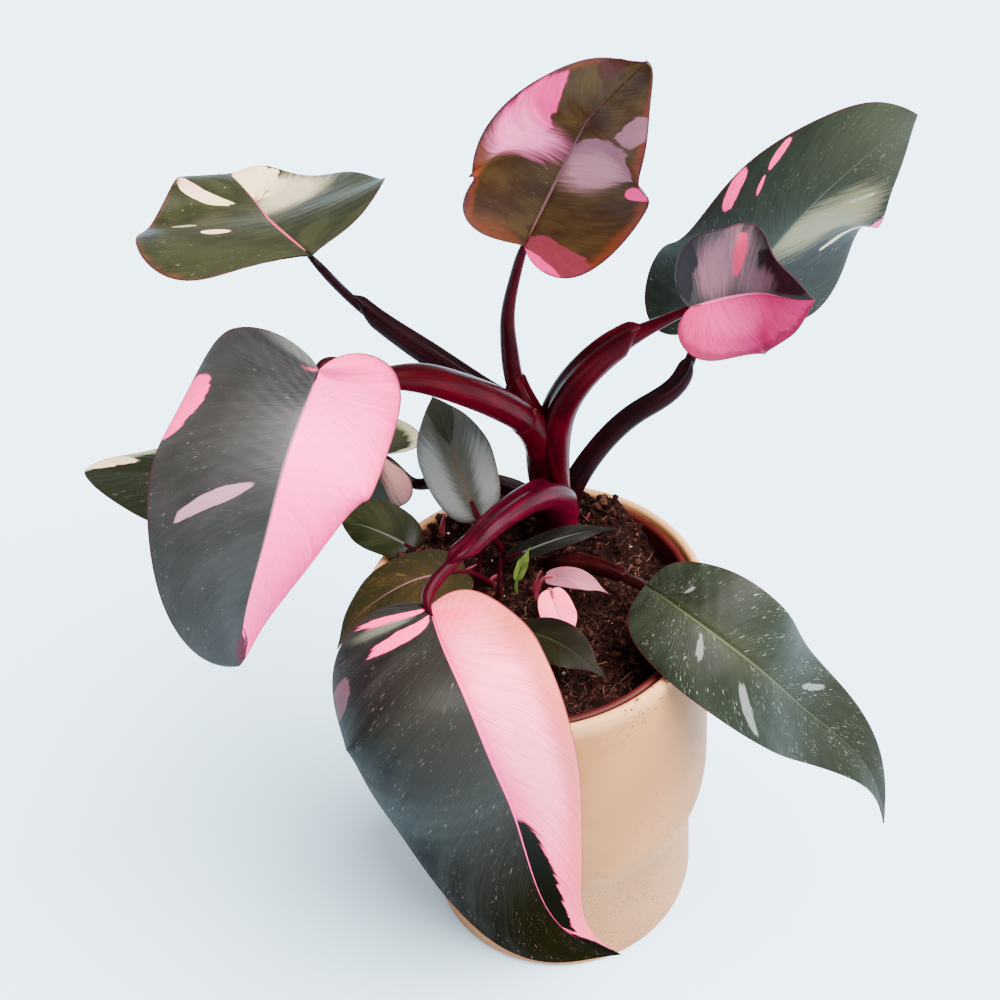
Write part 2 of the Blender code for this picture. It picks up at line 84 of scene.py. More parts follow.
# Big blades: midrib from base to tip, the way the upper side faces at base and tip,
# half widths and lobes behind the base, and how each half folds and curls, in degrees.
# Left and right are as seen on the upper side with the tip pointing away.
BLADES = {
    "blade_front": dict(
        midrib=[(-35, -50, 226), (-30, -73, 228), (-25, -89, 226), (-20, -98, 207), (-15, -96, 169),
                (-9, -93, 105), (5, -84, 58), (20, -76, 31)],
        face=[(-0.2, -0.42, 0.88), (0.13, -0.97, 0.2)], half=(29, 47), lobe=(5, 9), widest=0.15, tip=0.23,
        fold=(-5, 33), curl=(-27, -73), stalk_side=1),
    "blade_left": dict(
        midrib=[(-57, -27, 312), (-63, -33, 303), (-70, -48, 294), (-80, -60, 274), (-91, -62, 250),
                (-103, -56, 215)],
        face=[(0.02, -0.83, 0.56), (0.59, -0.8, 0.15)], half=(36, 45), lobe=(14, 7), widest=0.18, tip=0.02,
        fold=(-13, -3), curl=(-40, -50)),
    "blade_upper_left": dict(
        midrib=[(-60, 27, 323), (-75, 54, 323), (-89, 96, 315), (-99, 116, 316), (-108, 140, 304)],
        face=[(0.2, -0.4, 0.9), (-0.2, 0.9, 0.4)], half=(48, 44), lobe=(-9, -3), widest=0.26, tip=0.2,
        fold=(3, 8), curl=(-9, 7)),
    "blade_top": dict(
        midrib=[(12, 21, 320), (33, 17, 359), (37, 8, 369), (50, -1, 384), (50, -11, 389)],
        face=[(-0.05, -0.87, 0.5), (-0.17, -0.95, 0.27)], half=(43, 31), lobe=(1, 7), widest=0.37, tip=0.22,
        fold=(29, 9), curl=(57, 14)),
    "blade_right_pink": dict(
        midrib=[(68, 21, 288), (93, 16, 293), (99, 6, 296), (105, -3, 300)],
        face=[(0.0, -0.6, 0.8), (-0.2, -0.73, 0.65)], half=(32, 24), lobe=(5, 9), widest=0.33, tip=0.07,
        fold=(51, -23), curl=(21, -32)),
    "blade_far_right": dict(
        midrib=[(89, 71, 251), (103, 63, 277), (117, 52, 304), (138, 52, 323), (159, 67, 328)],
        face=[(0.2, -0.8, 0.53), (0.6, -0.73, 0.3)], half=(38, 44), lobe=(26, -3), widest=0.26, tip=0.08,
        fold=(4, -7), curl=(-18, -14)),
    "blade_back_left": dict(
        midrib=[(-57, 65, 207), (-91, 77, 207), (-136, 75, 203), (-163, 67, 212), (-179, 60, 220)],
        face=[(-0.11, -0.46, 0.88), (-0.17, -0.34, 0.93)], half=(34, 28), lobe=(24, 22), widest=0.4, tip=0.0,
        fold=(-28, -10), curl=(-45, -33)),
    "blade_low_right": dict(
        midrib=[(44, -16, 191), (60, -38, 190), (80, -48, 173), (103, -41, 135), (129, -43, 99),
                (140, -44, 57)],
        face=[(-0.05, -0.35, 0.93), (0.6, -0.6, 0.5)], half=(25, 25), lobe=(-1, -2), widest=0.23, tip=0.26,
        fold=(18, 6), curl=(-23, -31)),
}

# Petioles of the main stem, from the stem outward, with a radius at each point.
# Each one ends under the base of its blade.
PETIOLES = {
    "blade_front": (
        [(15, 41, 172), (17, 36, 190), (12, 26, 206), (0, 8, 218), (-12, -12, 226), (-22, -31, 232)],
        [7.0, 7.0, 6.4, 5.2, 3.8, 2.5]),
    "blade_left": (
        [(12, 34, 212), (10, 31, 232), (0, 21, 254), (-16, 6, 276), (-32, -7, 292), (-46, -17, 302)],
        [6.5, 6.5, 6.3, 5.8, 4.8, 3.0]),
    "blade_upper_left": (
        [(12, 37, 212), (8, 35, 234), (-6, 34, 252), (-29, 32, 277), (-43, 31, 293), (-53, 29, 308)],
        [5.5, 5.5, 4.6, 3.9, 2.5, 1.8]),
    "blade_top": (
        [(11, 35, 216), (9, 31, 240), (4, 30, 258), (3, 28, 275), (4, 26, 292), (8, 25, 307)],
        [5.5, 5.0, 4.2, 3.4, 2.6, 2.0]),
    "blade_right_pink": (
        [(14, 36, 196), (15, 33, 222), (20, 30, 245), (30, 27, 262), (45, 25, 275), (60, 23, 283)],
        [7.2, 7.2, 6.4, 5.6, 4.2, 2.1]),
    "blade_far_right": (
        [(16, 43, 176), (22, 46, 190), (35, 54, 204), (54, 62, 215), (72, 69, 222), (83, 79, 238)],
        [5.0, 5.0, 4.6, 4.2, 3.4, 2.0]),
    "blade_back_left": (
        [(12, 40, 182), (0, 46, 193), (-14, 50, 198), (-30, 55, 198), (-44, 60, 193)],
        [3.8, 3.5, 3.1, 2.8, 2.0]),
}
COLUMN = (
    [(14, 42, 168), (14, 39, 190), (12, 34, 216), (11, 32, 230)],
    [8.5, 8.2, 7.6, 6.0])
LOW_STEM = (
    [(8, 27, 167), (14, 21, 173), (27, 11, 178), (38, -4, 184)],
    [2.4, 3.6, 3.6, 2.2])

# Small shoots: each is one leaf on its thin stem, which starts in the soil
SHOOTS = {
    "shoot_grey": dict(
        midrib=[(-17, 23, 200), (-22, 29, 221), (-25, 31, 242), (-28, 32, 256)],
        face=[(-0.08, -0.95, 0.3), (-0.12, -0.91, 0.4)], half=(15, 15), lobe=(0, 0), widest=0.48, tip=0.05,
        fold=(3, 3), curl=(-10, -13), foot=(-8, 33), bend=(-12, 27, 184), radius=1.5),
    "shoot_dark": dict(
        midrib=[(-46, 33, 179), (-55, 33, 188), (-64, 32, 196), (-72, 25, 206)],
        face=[(-0.17, -0.67, 0.72), (-0.3, -0.69, 0.66)], half=(9, 13), lobe=(1, 1), widest=0.48, tip=0.05,
        fold=(3, -2), curl=(-10, -13), foot=(-34, 37), bend=(-39, 35, 173), radius=1.2),
    "shoot_olive": dict(
        midrib=[(-26, 14, 181), (-45, 4, 189), (-60, -5, 189), (-71, -11, 184), (-78, -15, 175)],
        face=[(-0.15, -0.3, 0.95), (-0.6, -0.3, 0.7)], half=(15, 15), lobe=(3, 3), widest=0.34, tip=0.2,
        fold=(4, 4), curl=(-12, -12), foot=(-16, 19), bend=(-19, 17, 173), radius=1.3),
    "shoot_narrow": dict(
        midrib=[(-8, 24, 176), (6, 22, 183), (23, 21, 188), (41, 22, 187)],
        face=[(0.0, -0.6, 0.8), (0.1, -0.6, 0.8)], half=(4.5, 4.5), lobe=(0.5, 0.5), widest=0.45, tip=0.3,
        fold=(15, 15), curl=(0, 0), foot=(-12, 25), bend=(-11, 25, 172), radius=1.0),
    "shoot_mauve": dict(
        midrib=[(7, 8, 178), (16, 2, 182), (24, -2, 181), (31, -5, 177)],
        face=[(0.1, -0.5, 0.85), (0.2, -0.5, 0.85)], half=(4.5, 4.5), lobe=(0.5, 0.5), widest=0.45, tip=0.25,
        fold=(8, 8), curl=(0, 0), foot=(2, 9), bend=(4, 9, 173), radius=0.9),
    "shoot_oval": dict(
        midrib=[(8, -6, 184), (9, -13, 181), (12, -19, 175), (16, -23, 170)],
        face=[(-0.1, -0.6, 0.8), (0.1, -0.8, 0.55)], half=(7, 7), lobe=(1, 1), widest=0.45, tip=0.3,
        fold=(5, 5), curl=(-8, -8), foot=(3, -2), bend=(5, -3, 178), radius=0.9),
    "shoot_bronze": dict(
        midrib=[(-5, -19, 177), (4, -28, 181), (15, -38, 180), (25, -47, 174)],
        face=[(0.1, -0.4, 0.9), (0.2, -0.5, 0.85)], half=(9, 9), lobe=(1, 1), widest=0.42, tip=0.3,
        fold=(6, 6), curl=(-8, -8), foot=(-9, -14), bend=(-8, -15, 171), radius=1.1),
    "shoot_bright": dict(
        midrib=[(-5, 14, 173), (-3, 15, 178), (0, 17, 183), (2, 19, 186)],
        face=[(0.0, -0.9, 0.4), (0.0, -0.9, 0.4)], half=(2.6, 2.6), lobe=(0.3, 0.3), widest=0.4, tip=0.3,
        fold=(20, 20), curl=(0, 0), foot=(-6, 13), bend=(-6, 13, 169), radius=0.8),
}
SHOOT_START = SOIL_HEIGHT + 3.5
SHOOT_SINK = 12.0


def spline(points, count):
    """Natural cubic spline through the points, sampled at equal steps of arc length."""
    p = np.asarray(points, float)
    t = np.concatenate([[0.0], np.cumsum(np.linalg.norm(np.diff(p, axis=0), axis=1))])
    h = np.diff(t)
    k = len(p)
    a = np.eye(k)
    b = np.zeros((k, p.shape[1]))
    for i in range(1, k - 1):
        a[i, i - 1:i + 2] = h[i - 1], 2 * (h[i - 1] + h[i]), h[i]
        b[i] = 6 * ((p[i + 1] - p[i]) / h[i] - (p[i] - p[i - 1]) / h[i - 1])
    m = np.linalg.solve(a, b)
    q = np.linspace(0.0, t[-1], 200)
    i = np.clip(np.searchsorted(t, q, side="right") - 1, 0, k - 2)
    hi = h[i][:, None]
    after = (q - t[i])[:, None]
    before = hi - after
    c = ((m[i] * before**3 + m[i + 1] * after**3) / (6 * hi)
         + (p[i] / hi - m[i] * hi / 6) * before + (p[i + 1] / hi - m[i + 1] * hi / 6) * after)
    s = np.concatenate([[0.0], np.cumsum(np.linalg.norm(np.diff(c, axis=0), axis=1))])
    at = np.linspace(0.0, s[-1], count)
    return np.stack([np.interp(at, s, c[:, j]) for j in range(c.shape[1])], 1), s[-1]


def bezier(points, t):
    p = np.asarray(points, float)
    t = t[:, None]
    return (1 - t)**3 * p[0] + 3 * (1 - t)**2 * t * p[1] + 3 * (1 - t) * t * t * p[2] + t**3 * p[3]


def half_outline(length, half, lobe, widest, tip, tau):
    """Edge of one half: u along the midrib, v across; round lobe, widest place, drawn-out tip."""
    a = widest * length
    low = bezier([(0, 0), (-1.25 * lobe, 0.2 * half), (-0.8 * lobe - 0.1 * a, half), (a, half)],
                 np.clip(tau / SPLIT, 0, 1))
    high = bezier([(a, half), (a + 0.5 * (length - a), half), (length - tip * length, 0.22 * half),
                   (length, 0)], np.clip((tau - SPLIT) / (1 - SPLIT), 0, 1))
    return np.where((tau < SPLIT)[:, None], low, high)


def blade_grid(spec, rows, columns):
    """Points of a blade: rows from base to tip, columns from the left edge to the right edge."""
    mid, length = spline(spec["midrib"], MID_STEPS + 1)
    tangent = unit(np.gradient(mid, axis=0))
    tau = np.linspace(0, 1, rows + 1)
    along = length * tau**ROW_POWER
    r = np.linspace(0, 1, columns + 1)[None, :, None]
    halves = []
    for side, sign in ((0, -1), (1, 1)):
        half = spec["half"][side]
        edge = half_outline(length, half, spec["lobe"][side], spec["widest"], spec["tip"], tau)
        start = np.stack([along, np.zeros_like(along)], 1)[:, None, :]
        bow = np.stack([along + 0.25 * (edge[:, 0] - along), 0.55 * edge[:, 1]], 1)[:, None, :]
        uv = (1 - r)**2 * start + 2 * r * (1 - r) * bow + r * r * edge[:, None, :]
        u, v = uv[..., 0], uv[..., 1]
        g = np.clip(u / length, 0, 1) * MID_STEPS
        i = np.clip(g.astype(int), 0, MID_STEPS - 1)
        part = (g - i)[..., None]
        place = mid[i] * (1 - part) + mid[i + 1] * part + np.minimum(u, 0)[..., None] * tangent[0]
        forward = unit(tangent[i] * (1 - part) + tangent[i + 1] * part)
        k = np.clip(u / length, 0, 1)[..., None]
        up = unit(unit(spec["face"][0]) * (1 - k) + unit(spec["face"][1]) * k)
        across = unit(np.cross(forward, up))
        normal = np.cross(across, forward)
        fold = math.radians(spec["fold"][side])
        bend = math.radians(spec["curl"][side]) / half
        if abs(bend) < 1e-6:
            out, rise = v * math.cos(fold), v * math.sin(fold)
        else:
            out = (np.sin(fold + bend * v) - math.sin(fold)) / bend
            rise = (math.cos(fold) - np.cos(fold + bend * v)) / bend
        halves.append(place + sign * across * out[..., None] + normal * rise[..., None])
    left, right = halves
    return np.concatenate([left[:, ::-1], right[:, 1:]], 1)


def round_corner(centre, radius, start, end, count):
    """Arc points of a profile, angles in degrees from the outward direction."""
    return [(centre[0] + radius * math.cos(math.radians(start + (end - start) * i / count)),
             centre[1] + radius * math.sin(math.radians(start + (end - start) * i / count)))
            for i in range(count + 1)]


def pot_profile():
    """Inside floor, inside wall, round lip, straight wall, rounded shoulder, crease, foot."""
    inner = LIP_RADIUS - WALL
    lip = round_corner((LIP_RADIUS - WALL / 2, POT_HEIGHT - WALL / 2), WALL / 2, 180, 0, 6)
    shoulder_drop = SHOULDER_HEIGHT - CREASE_HEIGHT
    shoulder_in = LIP_RADIUS - FOOT_RADIUS - 0.8
    shoulder = [(LIP_RADIUS - shoulder_in * (1 - math.cos(a)), SHOULDER_HEIGHT - shoulder_drop * math.sin(a))
                for a in (math.radians(15 * i) for i in range(1, 7))]
    foot = round_corner((FOOT_RADIUS - 3.0, 3.0), 3.0, 0, -90, 4)
    return ([(0.0, FLOOR), (FOOT_RADIUS - 10.0, FLOOR), (FOOT_RADIUS - WALL - 3.0, FLOOR + 4.0),
             (FOOT_RADIUS - WALL, CREASE_HEIGHT), (inner, SHOULDER_HEIGHT + 6.0)]
            + lip + [(LIP_RADIUS, SHOULDER_HEIGHT)] + shoulder
            + [(FOOT_RADIUS, CREASE_HEIGHT - 1.5)] + foot + [(0.0, 0.0)])


def nursery_profile():
    """Tapered thin pot with a turned rim, standing on the cover pot's floor."""
    low = FLOOR + CLEARANCE
    inner_base = NURSERY_BASE_RADIUS - NURSERY_WALL
    neck = NURSERY_RADIUS - RIM_STEP
    step = NURSERY_TOP - RIM_HEIGHT
    return [(0.0, low + NURSERY_WALL), (inner_base, low + NURSERY_WALL),
            (neck - NURSERY_WALL, step - RIM_STEP), (NURSERY_RADIUS - NURSERY_WALL, step + 1.0),
            (NURSERY_RADIUS - NURSERY_WALL, NURSERY_TOP), (NURSERY_RADIUS, NURSERY_TOP),
            (NURSERY_RADIUS, step), (neck, step - RIM_STEP - 1.0),
            (NURSERY_BASE_RADIUS, low), (0.0, low)]


def soil_lift(x, y):
    """Height of the soil's lumpy top above its level: it rises to the back, with a mound by the rim."""
    lumps = 0.9 * math.sin(0.31 * x + 1.0) * math.cos(0.27 * y) + 0.6 * math.sin(0.55 * y + 0.42 * x)
    reach = math.hypot(x - MOUND_PLACE[0], y - MOUND_PLACE[1]) / MOUND_REACH
    slope = SOIL_RISE * (0.5 + 0.5 * y / NURSERY_RADIUS)
    return lumps + slope + MOUND_HEIGHT * math.exp(-reach * reach)


# Camera, from the ellipses of the pot's lip and foot
CAMERA_PLACE = (0.0, -343.0, 515.0)
CAMERA_YAW = -1.2
CAMERA_PITCH = 39.9
CAMERA_ROLL = -7.7
LENS = 43.2

# Detail of the meshes
LEAF = dict(rows=150, columns=44, thick=0.6, waves=0.9)
SMALL_LEAF = dict(rows=60, columns=16, thick=0.5, waves=0.3)
POT_SIDES = 160
PETIOLE_STEPS = 110
STALK_STEPS = 40
STALK_SIDES = 24
SHEATH_SIDES = 32
THIN_SIDES = 14
FIBRE_SIDES = 4
LEAF_CREASE = 55.0
JOINED_CREASE = 60.0
POT_CREASE = 38.0

# Leaf surface, where a mark says nothing else: gloss at base and tip, and the veins' lean tipward
LEAF_GLOSS = (0.09, 0.05)
VEIN_LEAN = 0.16
TIP_PLACE = 1.3

# Soil litter
SOIL_SEED = 11
ROUGH_SEED = 5
SOIL_RINGS = 90
SOIL_AROUND = 200
SMOOTHINGS = 2
INNER_RING = (50.0, 150.0)
FIBRE_COUNT = 5200
CLOD_COUNT = 1300
BANKED_SHARE = 0.12
WHITE_SHARE = 0.05
WHITE_TONE = 3


class Value:
    """A shader value with plain arithmetic; each operation adds one math node."""

    def __init__(self, graph, socket):
        self.graph = graph
        self.socket = socket

    def __add__(self, other):
        return self.graph.math("ADD", self, other)

    def __sub__(self, other):
        return self.graph.math("SUBTRACT", self, other)

    def __rsub__(self, other):
        return self.graph.math("SUBTRACT", other, self)

    def __mul__(self, other):
        return self.graph.math("MULTIPLY", self, other)

    def __truediv__(self, other):
        return self.graph.math("DIVIDE", self, other)

    def __abs__(self):
        return self.graph.math("ABSOLUTE", self)

    __radd__ = __add__
    __rmul__ = __mul__


class Graph:
    """Short calls for the nodes of one material; inputs may be numbers, colours or values."""

    def __init__(self, name, rough=0.5, specular=0.5):
        self.mat = bpy.data.materials.new(name)
        self.mat.use_nodes = True
        self.tree = self.mat.node_tree
        self.shader = self.tree.nodes["Principled BSDF"]
        self.shader.inputs["Roughness"].default_value = rough
        self.shader.inputs["Specular IOR Level"].default_value = specular

    def put(self, socket, value):
        if isinstance(value, Value):
            self.tree.links.new(value.socket, socket)
        else:
            socket.default_value = (*value, 1.0) if socket.type == "RGBA" else value

    def node(self, kind, inputs, **settings):
        """A node with its settings and its inputs, by name or number."""
        node = self.tree.nodes.new("ShaderNode" + kind)
        for key, value in settings.items():
            setattr(node, key, value)
        for key, value in inputs.items():
            self.put(node.inputs[key], value)
        return node

    def out(self, kind, inputs, output=0, **settings):
        return Value(self, self.node(kind, inputs, **settings).outputs[output])

    def math(self, operation, *values):
        return self.out("Math", dict(enumerate(values)), operation=operation)

    def steps(self, value, low, high):
        """Smooth rise from 0 at low to 1 at high."""
        return self.out("MapRange", {"Value": value, "From Min": low, "From Max": high},
                        interpolation_type="SMOOTHSTEP")

    def mix(self, factor, a, b):
        return self.out("Mix", {0: factor, 6: a, 7: b}, output=2, data_type="RGBA")

    def scale(self, colour, factor):
        return self.out("VectorMath", {0: colour, "Scale": factor}, operation="SCALE")

    def vector(self, x, y, z):
        return self.out("CombineXYZ", {0: x, 1: y, 2: z})

    def split(self, vector):
        return [Value(self, output) for output in self.node("SeparateXYZ", {0: vector}).outputs]

    def noise(self, vector, scale, detail, rough=0.5):
        return self.out("TexNoise", {"Vector": vector, "Scale": scale, "Detail": detail, "Roughness": rough})

    def cells(self, vector, scale):
        """Distance to the nearest cell's middle, and a number that differs from cell to cell."""
        node = self.node("TexVoronoi", {"Vector": vector, "Scale": scale})
        return Value(self, node.outputs["Distance"]), self.split(Value(self, node.outputs["Color"]))[0]

    def place(self):
        return self.out("TexCoord", {}, output="Object")

    def flow(self):
        """Share of the way along the piece and across or round it."""
        return self.split(self.out("UVMap", {}, uv_map="Flow"))[:2]

    def bump(self, height, distance, strength):
        relief = self.out("Bump", {"Height": height, "Distance": distance, "Strength": strength})
        self.put(self.shader.inputs["Normal"], relief)

    def finish(self, colour, rough=None):
        self.put(self.shader.inputs["Base Color"], colour)
        if rough is not None:
            self.put(self.shader.inputs["Roughness"], rough)
        return self.mat


# Colours, linear, for a bright room in which a white card shines at about five times its own white
BLACK = (0.003, 0.003, 0.0016)
FOREST = (0.007, 0.009, 0.0042)
FERN = (0.013, 0.0165, 0.009)
OLIVE = (0.018, 0.019, 0.007)
DEEP_OLIVE = (0.009, 0.01, 0.0035)
BRONZE = (0.024, 0.007, 0.0008)
KHAKI = (0.06, 0.03, 0.0075)
MAROON = (0.03, 0.003, 0.005)
RED_BROWN = (0.045, 0.009, 0.005)
PINK = (0.9, 0.03, 0.19)
PALE_PINK = (0.97, 0.15, 0.33)
BABY_PINK = (0.96, 0.06, 0.28)
ROSE = (0.62, 0.03, 0.13)
HOT_PINK = (0.72, 0.014, 0.14)
DEEP_ROSE = (0.26, 0.01, 0.05)
MAUVE = (0.2, 0.075, 0.095)
CREAM = (0.6, 0.44, 0.25)
DULL_CREAM = (0.24, 0.21, 0.13)
SILVER = (0.1, 0.105, 0.09)
AMBER = (0.09, 0.017, 0.003)

